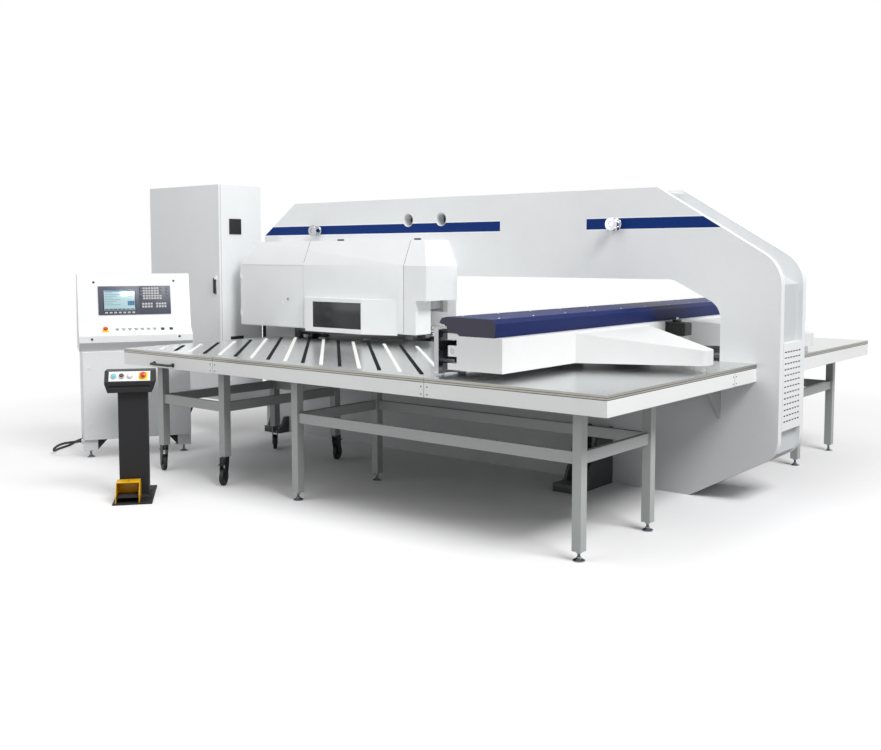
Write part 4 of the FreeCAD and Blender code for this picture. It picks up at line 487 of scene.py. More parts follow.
def softened(node, paint, body, width, second=None, chosen=None):
    """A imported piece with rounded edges. A second paint goes on the faces that chosen picks."""
    bm = bmesh.new()
    bm.from_mesh(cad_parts[node].data)
    bmesh.ops.remove_doubles(bm, verts=bm.verts, dist=1e-5)
    bmesh.ops.dissolve_limit(bm, angle_limit=math.radians(0.5), verts=bm.verts, edges=bm.edges)
    bm.normal_update()
    for face in bm.faces:
        face.material_index = 1 if second and chosen(face) else 0
    paints = [paint, second] if second else [paint]
    piece = publish(node + "_finished", bm, paints, body, [node])
    edges = piece.modifiers.new("rounded edges", "BEVEL")
    edges.width = width
    edges.segments = 2
    edges.limit_method = "ANGLE"
    edges.angle_limit = math.radians(40)
    level = piece.modifiers.new("even shading", "WEIGHTED_NORMAL")
    level.keep_sharp = True


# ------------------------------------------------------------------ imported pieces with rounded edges
SOFTENED = [
    ("turret_covers", "press_white", "press", "press_paint", 0.0025),
    ("tool_door", "press_white", "tool_door", "press_paint", 0.0025),
    ("rear_vent_panel", "press_white", "press", "press_paint", 0.0012),
    ("cross_beam", "beam_white", "beam", "press_paint", 0.003),
    ("cabinet_body", "press_white", "press", "press_paint", 0.002),
    ("cabinet_door", "press_white", "cabinet_door", "press_paint", 0.002),
    ("console_body", "press_white", "press", "press_paint", 0.003),
    ("right_table_frame", "leg_grey", "press", "leg_paint", 0.0025),
    ("left_table_frame", "leg_grey", "press", "leg_paint", 0.0025),
    ("front_table_frame", "leg_grey", "press", "leg_paint", 0.0025),
    ("pedestal_stand", "charcoal", "press", "black_paint", 0.003),
    ("ram_cylinder", "cast_grey", "press", "casting", 0.004),
    ("turret_bearings", "cast_grey", "press", "casting", 0.003),
    ("upper_turret", "dark_steel", "upper_turret", "dark_steel", 0.002),
    ("lower_turret", "dark_steel", "lower_turret", "dark_steel", 0.002),
    ("punch_holders", "ground_steel", "upper_turret", "ground_steel", 0.001),
    ("die_holders", "ground_steel", "lower_turret", "ground_steel", 0.001),
    ("x_carriage", "ground_steel", "carriage", "ground_steel", 0.0015),
    ("clamp_jaw_1", "dark_steel", "clamp_jaw_1", "dark_steel", 0.0015),
    ("clamp_jaw_2", "dark_steel", "clamp_jaw_2", "dark_steel", 0.0015),
    ("clamp_jaw_3", "dark_steel", "clamp_jaw_3", "dark_steel", 0.0015),
    ("axis_motors", "black_motor", "beam", "black_paint", 0.003),
    ("index_motor", "black_motor", "press", "black_paint", 0.003),
    ("foot_pedal", "black_plastic", "foot_pedal", "grip_black", 0.001),
]
SKIRT_SIDE = 2.18
SKIRT_REAR = 2.33
SKIRT_FRONT = -1.88
SKIRT_LOW = 0.80


def side_of_skirt(face):
    """The folded skirt is the outermost face of a table frame, just under its top."""
    middle = face.calc_center_median()
    outer = abs(middle.x) > SKIRT_SIDE or not SKIRT_FRONT <= middle.y <= SKIRT_REAR
    return outer and middle.z > SKIRT_LOW and abs(face.normal.z) < 0.5


def add_softened():
    """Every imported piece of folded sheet, casting or plate, with its edges rounded."""
    for node, paint, body, slot, width in SOFTENED:
        if node.endswith("_table_frame"):
            softened(node, paint, body, width, "skirt_white", side_of_skirt)
        else:
            softened(node, paint, body, width)
    for number in range(1, 5):
        fork = "caster_fork_%d" % number
        softened(fork, "dark_steel", fork, 0.0012)
    softened("table_plates", "plate_steel", "press", 0.001, "edge_band",
             lambda face: face.normal.z < 0.5)
    softened("beam_cover", "navy_gloss", "beam", 0.0012, "navy_end",
             lambda face: abs(face.normal.x) > 0.9)


WEB_HALF = 0.172
TAIL_FROM = 1.5


def add_frame():
    """The frame's plates, with a darker grey painted as shade on the rear-facing faces of the tail's recessed
    web.
    """
    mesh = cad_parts["main_frame"].data.copy()
    mesh.name = "main_frame_finished"
    mesh.materials.clear()
    for paint in ("press_white", "web_painted_shade"):
        mesh.materials.append(PAINT[paint])
    # only the web's faces that look to the rear get the darker grey: painted shade of the recess
    for face in mesh.polygons:
        between = face.center.y > TAIL_FROM and abs(face.center.x) < WEB_HALF
        face.material_index = int(between and face.normal.y > 0.3)
    mount(bpy.data.objects.new("main_frame_finished", mesh), "press", ["main_frame"])


# ------------------------------------------------------------------ press frame
SIDE = 0.230
NOSE_LOW = (-2.510, 1.860)
NOSE_RISE = 0.290 / 0.423
TAIL_HIGH = (1.610, 2.150)
TAIL_FALL = 0.539 / 0.900
STRIPE_LOW = 1.862
STRIPE_HIGH = 1.940
STRIPE_EDGE = 0.007
STRIPE_GAP = (0.255, 1.040)
PAINT_LOW = SIDE + 0.0001
PAINT_HIGH = SIDE + 0.0005
BORE_ROW = (-0.700, -0.342)
BORE_HEIGHT = 1.970
BORE_RADIUS = 0.0578
NOTCH_STEPS = 4
LUGS = (-1.785, 1.286)
LUG_HEIGHT = 1.897
VENT_FACE = 2.512
VENT_PAD = ((-0.160, 0.160), (2.497, 2.506), (0.515, 1.081))
VENT_SCREWS = [(side * 0.158, height) for side in (-1, 1) for height in (0.535, 0.798, 1.062)]


def nose_end(height):
    """Where the frame's slanted nose is at a height."""
    return NOSE_LOW[0] + (height - NOSE_LOW[1]) / NOSE_RISE + 0.003


def tail_end(height):
    """Where the frame's sloping tail is at a height."""
    return TAIL_HIGH[0] + (TAIL_HIGH[1] - height) / TAIL_FALL - 0.004


def gap_start(_):
    """The stripe's bare gap starts square, at the same place at every height."""
    return STRIPE_GAP[0]


def gap_end(_):
    """It ends square as well."""
    return STRIPE_GAP[1]


def band(low, high, start, end):
    """The outline of one band of the stripe, with notches where a lifting bore cuts in."""
    points = [(end(low), low), (start(low), low), (start(high), high)]
    drop = BORE_HEIGHT - high
    for centre in BORE_ROW:
        if abs(drop) >= BORE_RADIUS or not start(high) < centre < end(high):
            continue
        half = math.acos(drop / BORE_RADIUS)
        for step in range(2 * NOTCH_STEPS + 1):
            angle = -half + half * step / NOTCH_STEPS
            height = BORE_HEIGHT - BORE_RADIUS * math.cos(angle)
            points.append((centre + BORE_RADIUS * math.sin(angle), max(height, low + 0.0005)))
    points.append((end(high), high))
    return points


def add_frame_trim():
    """The painted stripe on both sides, the lifting lugs, the bores' sleeves, the vent's pad and screws."""
    rows = (("stripe_blue", STRIPE_LOW, STRIPE_HIGH), ("stripe_white", STRIPE_LOW - STRIPE_EDGE, STRIPE_LOW),
            ("stripe_white", STRIPE_HIGH, STRIPE_HIGH + STRIPE_EDGE))
    for number, (paint, low, high) in enumerate(rows):
        form = Form("side_stripe_%d" % number)
        for side in (-1, 1):
            for start, end in ((nose_end, gap_start), (gap_end, tail_end)):
                form.profile("X", side * PAINT_LOW, side * PAINT_HIGH, band(low, high, start, end))
        form.done(paint, "press")

    outline = [(0.0, 0.0), (0.046, 0.0), (0.046, 0.006), (0.042, 0.010), (0.034, 0.013), (0.033, 0.050),
               (0.035, 0.055), (0.047, 0.058), (0.050, 0.061), (0.050, 0.074), (0.047, 0.0775),
               (0.020, 0.078), (0.018, 0.073), (0.0, 0.073)]
    lugs = Form("lifting_lug_set")
    for along in LUGS:
        for side in (-1, 1):
            lugs.turned((side * SIDE, along, LUG_HEIGHT), (side, 0, 0), outline, 48)
    lugs.done("chromed", "press", ["lifting_lugs"])

    rims = Form("lifting_bore_sleeves")
    sleeve = [(0.0565, -0.0008), (0.0565, 0.0), (0.0560, 0.0008), (0.0530, 0.0008), (0.0525, 0.0),
              (0.0525, -0.1), (0.0565, -0.1), (0.0565, -0.0008)]
    for centre in BORE_ROW:
        for side in (-1, 1):
            rims.turned((side * SIDE, centre, BORE_HEIGHT), (side, 0, 0), sleeve, 48)
    rims.done("press_white", "press")

    pad = Form("vent_filter_pad")
    pad.block(*VENT_PAD, 0.002)
    pad.done("seam_and_slot_shade", "press")
    screws = Form("vent_screws")
    for x, height in VENT_SCREWS:
        screws.screw((x, VENT_FACE - 0.0035, height), (0, 1, 0), 0.0055)
    screws.done("dark_steel", "press")


# ------------------------------------------------------------------ feet
ANCHORS = ((-2.300, 0.130, 0.150), (1.182, 0.498, 0.420))
FIXED_LEGS = [(side * x, y) for side in (-1, 1) for x in (2.050, 1.250) for y in (2.100, -0.130)]
FAR_LEGS = [(-2.050, -1.630), (-0.915, -1.630)]
CONSOLE_LEGS = [(side * 0.378, y) for side in (-1, 1) for y in (0.060, 0.415)]
TABLE_PAD = 0.055
CONSOLE_PAD = 0.062
THREAD_PITCH = 0.0016
ANCHOR_HALF = 0.1025
ANCHOR_RIB = 0.025
ANCHOR_TOP = 0.058
ANCHOR_BOLT = 0.082


def pad_outline(top):
    """A swivel pad with a threaded stem, up to a leg's end."""
    outline = [(0.0, 0.0), (0.033, 0.0), (0.035, 0.002), (0.035, 0.006), (0.031, 0.009), (0.019, 0.014),
               (0.013, 0.020), (0.013, 0.024), (0.008, 0.027)]
    height = 0.027
    while height < top - 0.013:
        outline += [(0.0088, height + 0.0005), (0.0072, height + 0.0013)]
        height += THREAD_PITCH
    return outline + [(0.008, top - 0.011), (0.008, top), (0.0, top)]


def add_feet():
    """Chromed swivel pads with their stems and lock nuts, and the dark anchor feet by the frame."""
    form = Form("levelling_pads")
    spots = [(Vector((x, y, 0)), TABLE_PAD) for x, y in FIXED_LEGS + FAR_LEGS]
    spots += [(CONSOLE @ Vector((x, y, 0)), CONSOLE_PAD) for x, y in CONSOLE_LEGS]
    nut = [(0.0078, 0.0), (0.0145, 0.0), (0.016, 0.0015), (0.016, 0.0085), (0.0145, 0.010), (0.0078, 0.010)]
    for spot, top in spots:
        form.turned(spot, (0, 0, 1), pad_outline(top), 24)
        form.turned(spot + Vector((0, 0, top - 0.011)), (0, 0, 1), nut, 6)
    form.done("chromed", "press", ["levelling_feet"], 28.0)

    anchors = Form("anchor_feet")
    bolts = Form("anchor_bolts")
    bolt = [(0.0, 0.030), (0.010, 0.030), (0.0125, 0.027), (0.0125, 0.014), (0.021, 0.014), (0.0225, 0.012),
            (0.0225, 0.003), (0.030, 0.003), (0.030, 0.0)]
    for along, reach, rise in ANCHORS:
        low = ANCHOR_TOP - 0.0005
        rib = [(SIDE, low), (SIDE + reach * 0.72, low), (SIDE + reach * 0.52, low + rise * 0.4),
               (SIDE + reach * 0.4, rise), (SIDE, rise)]
        for side in (-1, 1):
            anchors.block((side * SIDE, side * (SIDE + reach)), (along - ANCHOR_HALF, along + ANCHOR_HALF),
                          (0.0, ANCHOR_TOP), 0.004)
            for start in (along - ANCHOR_HALF, along + ANCHOR_HALF - ANCHOR_RIB):
                anchors.profile("Y", start, start + ANCHOR_RIB, [(side * u, v) for u, v in rib], 0.002)
            bolts.turned((side * (SIDE + ANCHOR_BOLT), along, ANCHOR_TOP), (0, 0, 1), bolt, 24)
    anchors.done("dark_foot", "press")
    bolts.done("dark_steel", "press")


# ------------------------------------------------------------------ turret
TURRET_Y = -1.424
TURRET_RADIUS = 0.610
RIM_MARKS = 32
RIMS = {"upper_turret": 1.030, "lower_turret": 0.904}


def add_turret_marks():
    """Dark blocks set flush in both turrets' rims as the painted shade of key slots, and locating bushes
    round the rims.
    """
    bush = [(0.0, 0.002), (0.006, 0.002), (0.008, 0.0055), (0.0145, 0.0055), (0.016, 0.004), (0.016, 0.0)]
    for body, middle in RIMS.items():
        slot_shades = Form(body + "_rim_slots")
        bushes = Form(body + "_bushes")
        for number in range(RIM_MARKS):
            angle = math.tau * (number + 0.5) / RIM_MARKS
            way = Vector((math.cos(angle), math.sin(angle), 0))
            spot = Vector((0, TURRET_Y, middle)) + way * (TURRET_RADIUS - 0.006)
            # every second mark is a dark block flush with the rim: painted shade of a key slot, not a cut
            if number % 2:
                turn = Matrix.Rotation(angle, 4, "Z")
                x, y, z = spot
                slot_shades.block((x - 0.006, x + 0.006), (y - 0.015, y + 0.015), (z - 0.017, z + 0.017),
                            0.003, turn)
            else:
                bushes.turned(spot, way, bush, 20)
        slot_shades.done("seam_and_slot_shade", body)
        bushes.done("ground_steel", body)


# ------------------------------------------------------------------ turret covers
MIDDLE_SEAM = -0.4112
DOOR_SEAM = -1.5746
SEAM_WIDTH = 0.0030
CLIPS = (-1.270, -0.400)
DOOR_LOCK = (0.6318, -1.760, 1.290)
LOCK = [(0.0, 0.0015), (0.0035, 0.0015), (0.0045, 0.005), (0.0085, 0.005), (0.0115, 0.0035), (0.012, 0.0)]


def add_window():
    """The dark pane with its rubber gasket."""
    low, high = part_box("window_glass")
    pane = Form("window_pane")
    y = (low.y, high.y)
    z = (low.z, high.z)
    pane.block((low.x, high.x), y, z, 0.0012)
    pane.done("smoked_glass", "press", ["window_glass"])
    gasket = Form("window_gasket")
    rim = 0.007
    face = (high.x - 0.001, high.x + 0.0022)
    gasket.block(face, y, (z[0], z[0] + rim), 0.001)
    gasket.block(face, y, (z[1] - rim, z[1]), 0.001)
    gasket.block(face, (y[0], y[0] + rim), z, 0.001)
    gasket.block(face, (y[1] - rim, y[1]), z, 0.001)
    gasket.done("rubber", "press")


def add_cover_seams():
    """Rubber lines in the seams of the near cover, clips on its roof and the tool door's lock."""
    seams = Form("cover_seams")
    bands = ((MIDDLE_SEAM, [(0.6231, 1.050), (0.6231, 1.5901), (0.5311, 1.7972), (0.236, 1.7972)],
              [(0.236, 1.7977), (0.5314, 1.7977), (0.6236, 1.5902), (0.6236, 1.050)]),
             (DOOR_SEAM, [(0.6231, 1.5885), (0.5311, 1.7972), (0.236, 1.7972)],
              [(0.236, 1.7976), (0.5314, 1.7976), (0.6235, 1.5887)]))
    for y, inner, outer in bands:
        seams.profile("Y", y, y + SEAM_WIDTH, inner + outer)
    seams.done("seam_and_slot_shade", "press")
    clips = Form("cover_clips")
    for y in CLIPS:
        clips.block((0.440, 0.480), (y - 0.022, y + 0.022), (1.7965, 1.8120), 0.003)
        clips.rod(0.005, (0.460, y - 0.030, 1.8070), (0.460, y + 0.030, 1.8070))
    clips.done("dark_steel", "press")
    lock = Form("tool_door_lock")
    lock.turned(DOOR_LOCK, (1, 0, 0), LOCK, 28)
    lock.done("chromed", "tool_door")


# ------------------------------------------------------------------ cross beam
COVER_TOP = 1.3085
COVER_SCREWS = [-1.98 + 0.36 * number for number in range(12)]
COVER_SLOPE = (0, 0.013, 1)
MOTOR_FINS = [1.635 + 0.012 * number for number in range(9)]
MOTOR_CAP = [(0.0, 0.0029), (0.018, 0.0029), (0.040, 0.002), (0.046, 0.0)]


def add_beam_parts():
    """Screws along the beam's cover, and the fins, box and end cap of the motor behind it."""
    form = Form("beam_cover_screws")
    for x in COVER_SCREWS:
        form.screw((x, 1.240, COVER_TOP + 0.0001), COVER_SLOPE, 0.0065)
        form.screw((x, 1.505, COVER_TOP - 0.0026), COVER_SLOPE, 0.0065)
    form.done("chromed", "beam")

    fins = Form("y_motor_fins")
    for y in MOTOR_FINS:
        fins.block((-0.058, 0.058), (y, y + 0.004), (1.095, 1.193), 0.001)
    fins.block((-0.024, 0.024), (1.640, 1.690), (1.190, 1.2105), 0.003)
    fins.done("black_motor", "beam")
    cap = Form("y_motor_cap")
    cap.turned((0, 1.752, 1.144), (0, 1, 0), MOTOR_CAP, 40)
    cap.rod(0.012, (0, 1.665, 1.209), (0, 1.665, 1.228), 0.002)
    cap.done("chromed", "beam")


# ------------------------------------------------------------------ sheet tables
TABLE_TOP = 0.953
BALLS = [(2.170, -1.622), (1.677, -1.628), (1.330, -1.632), (2.170, -1.030), (1.677, -1.030), (1.330, -1.030)]
BALL = [(0.0, 0.0035), (0.003, 0.0031), (0.006, 0.0018), (0.008, 0.0)]
CUP = [(0.0078, 0.0012), (0.0145, 0.0012), (0.016, 0.0)]
SIDE_SKIRT = 2.2055
REAR_SKIRT = 2.3545
SCREW_ROWS = (0.853, 0.898)
SKIRT_HEIGHT = (0.834, 0.922)


def add_balls():
    """Ball transfers in their cups on both front tables."""
    balls = Form("ball_transfers")
    cups = Form("ball_cups")
    for x, y in BALLS:
        for side in (-1, 1):
            balls.turned((x * side, y, TABLE_TOP), (0, 0, 1), BALL, 20)
            cups.turned((x * side, y, TABLE_TOP), (0, 0, 1), CUP, 24)
    balls.done("brush_white", "press")
    cups.done("chromed", "press")


def add_skirt_joints():
    """The dark joints of the folded skirts, with pairs of screws on both sides of each."""
    screws = Form("skirt_screws")
    for side in (-1, 1):
        for y in (-0.86, -0.81, 1.10, 1.148):
            for z in SCREW_ROWS:
                screws.screw((side * (SIDE_SKIRT + 0.0003), y, z), (side, 0, 0), 0.0045)
    for x in (0.560, 0.606):
        for z in SCREW_ROWS:
            for side in (1, -1):
                screws.screw((side * x, REAR_SKIRT + 0.0003, z), (0, 1, 0), 0.0045)
    screws.done("dark_steel", "press")
    joints = Form("skirt_joints")
    for side in (-1, 1):
        joints.block((side * 0.583 - 0.0012, side * 0.583 + 0.0012), (REAR_SKIRT, REAR_SKIRT + 0.0008),
                     SKIRT_HEIGHT)
        joints.block((side * SIDE_SKIRT, side * (SIDE_SKIRT + 0.0008)), (1.1222, 1.1246), SKIRT_HEIGHT)
    joints.done("seam_and_slot_shade", "press")


def add_bow_handle():
    """The bow handle under the front table's edge, bent from round bar, on two round feet."""
    low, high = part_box("table_handle")
    radius = (high.z - low.z) / 2
    z = (high.z + low.z) / 2
    reach = high.x - radius
    y_low = low.y + radius
    y_high = high.y - radius
    turn = 0.022
    quarter = [math.pi / 2 * step / 8 for step in range(9)]
    path = [(low.x, y_low, z)]
    path += [(reach - turn + turn * math.sin(a), y_low + turn - turn * math.cos(a), z) for a in quarter]
    path += [(reach - turn + turn * math.cos(a), y_high - turn + turn * math.sin(a), z) for a in quarter]
    path.append((low.x, y_high, z))
    curve = line_through("bow_handle", "POLY", path)
    curve.bevel_depth = radius
    curve.bevel_resolution = 6
    curve.materials.append(PAINT["black_plastic"])
    mount(bpy.data.objects.new("bow_handle", curve), "press", ["table_handle"])
    feet = Form("bow_handle_feet")
    foot = [(0.016, 0.0), (0.016, 0.004), (0.014, 0.007), (0.0085, 0.008)]
    for y in (y_low, y_high):
        feet.turned((low.x, y, z), (1, 0, 0), foot, 28)
    feet.done("black_plastic", "press")


# ------------------------------------------------------------------ castors
# each castor's swivel on the floor plan, and the way its wheel trails behind it, in degrees
CASTORS = ((2.050, -1.630, 248), (2.050, -0.900, 30), (0.915, -1.630, 232), (0.915, -0.900, 200))
TRAIL = 0.038
WHEEL_RADIUS = 0.0625


def add_wheels():
    """Castor wheels: a crowned rubber tyre round a dished hub."""
    tyre = [(0.0480, -0.0125), (0.0510, -0.0150), (0.0575, -0.0145), (0.0610, -0.0120),
            (WHEEL_RADIUS, -0.0070), (WHEEL_RADIUS, 0.0070), (0.0610, 0.0120), (0.0575, 0.0145),
            (0.0510, 0.0150), (0.0480, 0.0125), (0.0480, -0.0125)]
    hub = [(0.0064, -0.0150), (0.0150, -0.0150), (0.0165, -0.0135), (0.0180, -0.0080), (0.0400, -0.0080),
           (0.0430, -0.0120), (0.0482, -0.0128), (0.0482, 0.0128), (0.0430, 0.0120), (0.0400, 0.0080),
           (0.0180, 0.0080), (0.0165, 0.0135), (0.0150, 0.0150), (0.0064, 0.0150), (0.0064, -0.0150)]
    for number, (x, y, trailing) in enumerate(CASTORS, 1):
        east = math.cos(math.radians(trailing))
        north = math.sin(math.radians(trailing))
        centre = (x + TRAIL * east, y + TRAIL * north, WHEEL_RADIUS)
        axis = (-north, east, 0.0)
        name = "caster_wheel_%d" % number
        ring = Form(name + "_tyre")
        ring.turned(centre, axis, tyre, 48)
        ring.done("rubber", name, [name])
        core = Form(name + "_hub")
        core.turned(centre, axis, hub, 48)
        core.done("wheel_hub", name)


# ------------------------------------------------------------------ cabinet
SEAL = (0.7240, 0.7262)
LEVER_Y = (-2.620, -2.600)
LEVER = [(0.7568, 1.325), (0.7720, 1.325), (0.7745, 1.330), (0.7745, 1.440), (0.7735, 1.464),
         (0.7700, 1.467), (0.7568, 1.467)]
ESCUTCHEON_X = (0.7528, 0.7545)
ESCUTCHEON_Y = (-2.6275, -2.5925)
DUCT_RINGS = [0.655 + 0.0318 * number for number in range(12)]


def add_cabinet_parts():
    """The door's seal, the dark ribbed duct to the press that also paints the shade in the gap between
    cabinet and frame, and the swing handle with its inlay and escutcheon.
    """
    seal = Form("cabinet_door_seal")
    for y in ((-2.5552, -2.5526), (-3.6018, -3.5998)):
        seal.block(SEAL, y, (0.402, 2.322))
    seal.block(SEAL, (-3.6010, -2.5540), (2.3215, 2.3238))
    seal.done("seam_and_slot_shade", "press")
    # the dark rubber duct also stands in as painted shade for the gap between the cabinet and the frame
    shade_duct = Form("cable_duct_and_gap_shade")
    shade_duct.block((0.120, 0.236), (-2.5526, -2.5104), (0.640, 1.030), 0.003)
    for z in DUCT_RINGS:
        shade_duct.block((0.116, 0.240), (-2.5500, -2.5130), (z, z + 0.010), 0.0025)
    shade_duct.done("rubber", "press")
    lever = Form("swing_lever")
    lever.profile("Y", *LEVER_Y, LEVER, 0.004)
    lever.rod(0.003, (0.7655, -2.628, 1.462), (0.7655, -2.592, 1.462))
    lever.done("black_plastic", "cabinet_handle", ["cabinet_handle"])
    inlay = Form("swing_lever_inlay")
    inlay.block((0.7740, 0.77445), (-2.6165, -2.6035), (1.345, 1.435), 0.0)
    inlay.done("chromed", "cabinet_handle")
    plate = Form("swing_escutcheon")
    plate.block(ESCUTCHEON_X, ESCUTCHEON_Y, (1.3160, 1.3235), 0.0008)
    plate.block(ESCUTCHEON_X, (ESCUTCHEON_Y[0], -2.6220), (1.3160, 1.4830), 0.0008)
    plate.block(ESCUTCHEON_X, (-2.5980, ESCUTCHEON_Y[1]), (1.3160, 1.4500), 0.0008)
    plate.done("black_plastic", "cabinet_door")


# ------------------------------------------------------------------ console
UNIT_SIDE = 0.2915
UNIT_LOW = 0.1137
UNIT_HIGH = 0.3545
SCREEN_X = (-0.2455, -0.0005)
SCREEN_Z = (0.1497, 0.3225)
MAIN_KEYS = [(0.0745 + 0.0225 * column, 0.332 - 0.0215 * row) for row in range(5) for column in range(7)]
SIDE_KEYS = [(0.0505, 0.332 - 0.0265 * row) for row in range(3)]
RIGHT_KEYS = [(0.262, 0.332 - 0.0265 * row) for row in range(3)]
BOTTOM_KEYS = [(0.066 + 0.0225 * column, 0.200 - 0.0235 * row) for row in range(2)
               for column in (0, 1, 2, 3, 5, 6, 7, 8)]
SOFT_KEYS = [-0.2295 + 0.036 * column for column in range(7)]
DESK_BUTTONS = (-0.150, -0.100, -0.050, 0.0, 0.050, 0.100, 0.150)
DESK_SWITCHES = (0.215, 0.285)
DESK_ROW = 0.084
DESK_STOP = (-0.244, 0.080)
RIM_WIDTH = 0.006
RIM_DEPTH = (-0.0118, -0.009)
SCREEN_FIELD = (-0.0107, -0.0103)
KEY_FOOT = -0.0095
KEY_FACE = -0.0128
CONSOLE_SCREWS = ((-0.324, 1.450), (0.323, 1.457), (-0.354, 0.989), (0.343, 0.997))


def key(form, x, z, wide, high):
    """One rounded key of the control unit."""
    form.block((x - wide / 2, x + wide / 2), (KEY_FACE, KEY_FOOT), (z - high / 2, z + high / 2), 0.0014)


def add_screen():
    """The screen in its dark rim, with plain fields of colour."""
    rim = Form("screen_rim", UNIT)
    x, z = SCREEN_X, SCREEN_Z
    across = (x[0] - RIM_WIDTH, x[1] + RIM_WIDTH)
    rim.block(across, RIM_DEPTH, (z[1], z[1] + RIM_WIDTH), 0.001)
    rim.block(across, RIM_DEPTH, (z[0] - RIM_WIDTH, z[0]), 0.001)
    rim.block((across[0], x[0]), RIM_DEPTH, z, 0.001)
    rim.block((x[1], across[1]), RIM_DEPTH, z, 0.001)
    rim.done("bezel_dark", "press")
    pane = Form("screen_pane", UNIT)
    pane.block(x, (-0.0104, -0.0090), z, 0.0006)
    pane.done("screen_lit", "press", ["control_screen"])
    blue = Form("screen_heading", UNIT)
    blue.block((x[0] + 0.003, x[1] - 0.003), SCREEN_FIELD, (z[1] - 0.014, z[1] - 0.003))
    blue.block((x[1] - 0.058, x[1] - 0.003), SCREEN_FIELD, (z[0] + 0.040, z[0] + 0.078))
    blue.done("screen_blue", "press")
    dark = Form("screen_foot", UNIT)
    for column in range(7):
        left = x[0] + 0.004 + column * 0.0342
        dark.block((left, left + 0.0310), SCREEN_FIELD, (z[0] + 0.003, z[0] + 0.013))
    dark.done("screen_dark", "press")
    lines = Form("screen_fields", UNIT)
    for row in range(8):
        high = z[1] - 0.022 - row * 0.0145
        end = x[0] + 0.070 + 0.030 * (row * 5 % 3)
        lines.block((x[0] + 0.006, end), SCREEN_FIELD, (high - 0.0040, high))
        if row in (0, 2):
            lines.block((x[1] - 0.056, x[1] - 0.014), SCREEN_FIELD, (high - 0.0040, high))
        elif row in (4, 6):
            lines.block((x[1] - 0.056, x[1] - 0.014), SCREEN_FIELD, (high - 0.0020, high - 0.0010))
    lines.done("screen_line", "press")


def add_control_unit():
    """The sloping control unit: rounded bezel, screen, keypad groups and soft keys."""
    bezel = Form("unit_bezel", UNIT)
    for x in ((-UNIT_SIDE, 0.0378), (0.0402, UNIT_SIDE)):
        bezel.block(x, (-0.010, -0.0003), (UNIT_LOW, UNIT_HIGH), 0.0025)
    bezel.done("bezel_blue", "press", ["control_unit"])
    add_screen()
    keys = Form("unit_keys", UNIT)
    dark = Form("unit_dark_keys", UNIT)
    for number, (x, z) in enumerate(MAIN_KEYS):
        key(dark if number in (6, 13, 20) else keys, x, z, 0.018, 0.016)
    for x, z in SIDE_KEYS + RIGHT_KEYS:
        key(dark, x, z, 0.018, 0.018)
    for x, z in BOTTOM_KEYS:
        key(keys, x, z, 0.018, 0.017)
    for x in SOFT_KEYS:
        key(keys, x, 0.1297, 0.022, 0.014)
    keys.done("key_grey", "press")
    dark.done("key_dark", "press")


DESK_RING = [(0.0075, 0.0065), (0.0100, 0.0065), (0.0112, 0.0050), (0.0112, 0.0)]
DESK_CAP = [(0.0, 0.0088), (0.0060, 0.0086), (0.0074, 0.0074), (0.0076, 0.004)]
SWITCH_BASE = [(0.0, 0.0050), (0.0135, 0.0050), (0.0148, 0.0035), (0.0148, 0.0)]


def add_desk_controls():
    """The row of push buttons and switches, and the plate of the stop, on the console's sloping lip."""
    rings = Form("desk_rings", DESK)
    caps = Form("desk_caps", DESK)
    green = Form("desk_start_cap", DESK)
    for x in DESK_BUTTONS:
        rings.turned((x, DESK_ROW, 0), (0, 0, 1), DESK_RING, 28)
        cap = green if x == DESK_BUTTONS[0] else caps
        cap.turned((x, DESK_ROW, 0), (0, 0, 1), DESK_CAP, 28)
    rings.done("chromed", "press", ["console_controls"])
    caps.done("key_grey", "press")
    green.done("button_green", "press")
    tags = Form("desk_tags", DESK)
    for x in DESK_BUTTONS + DESK_SWITCHES:
        tags.block((x - 0.0160, x + 0.0160), (0.0990, 0.1080), (0.0, 0.0009), 0.0003)
    tags.done("black_plastic", "press")
    knobs = Form("desk_switches", DESK)
    for x in DESK_SWITCHES:
        knobs.turned((x, DESK_ROW, 0), (0, 0, 1), SWITCH_BASE, 32)
        knobs.block((x - 0.0030, x + 0.0030), (DESK_ROW - 0.012, DESK_ROW + 0.012), (0.004, 0.0098), 0.0014)
    knobs.done("black_plastic", "press")
    plate = Form("desk_stop_plate", DESK)
    x, y = DESK_STOP
    plate.block((x - 0.024, x + 0.024), (y - 0.024, y + 0.024), (0.0, 0.0035), 0.001)
    collar = [(0.0108, 0.0), (0.0108, 0.009), (0.0175, 0.009), (0.0200, 0.006), (0.0215, 0.0)]
    plate.turned((x, y, 0.003), (0, 0, 1), collar, 36)
    plate.done("stop_yellow", "press")


STOP = [(0.0, 0.0310), (0.0080, 0.0306), (0.0150, 0.0290), (0.0190, 0.0262), (0.0200, 0.0235),
        (0.0192, 0.0208), (0.0150, 0.0200), (0.0110, 0.0195), (0.0098, 0.0180), (0.0098, 0.0100),
        (0.0, 0.0100)]
STAND_STOP = (0.076, 0.044)


def add_stops():
    """The two red mushroom heads."""
    for name, place, (x, y) in (("console_estop", DESK, DESK_STOP), ("pedestal_estop", HEAD, STAND_STOP)):
        head = Form(name + "_head", place)
        head.turned((x, y, 0), (0, 0, 1), STOP, 48)
        head.done("stop_red", name, [name])


FACE_SLOPE = 0.2232
FACE_NORMAL = (0, -0.976, 0.218)
LEAF_LOCK = [(0.0, 0.0002), (0.0035, 0.0002), (0.0045, 0.0004), (0.0105, 0.0004), (0.0112, 0.0)]


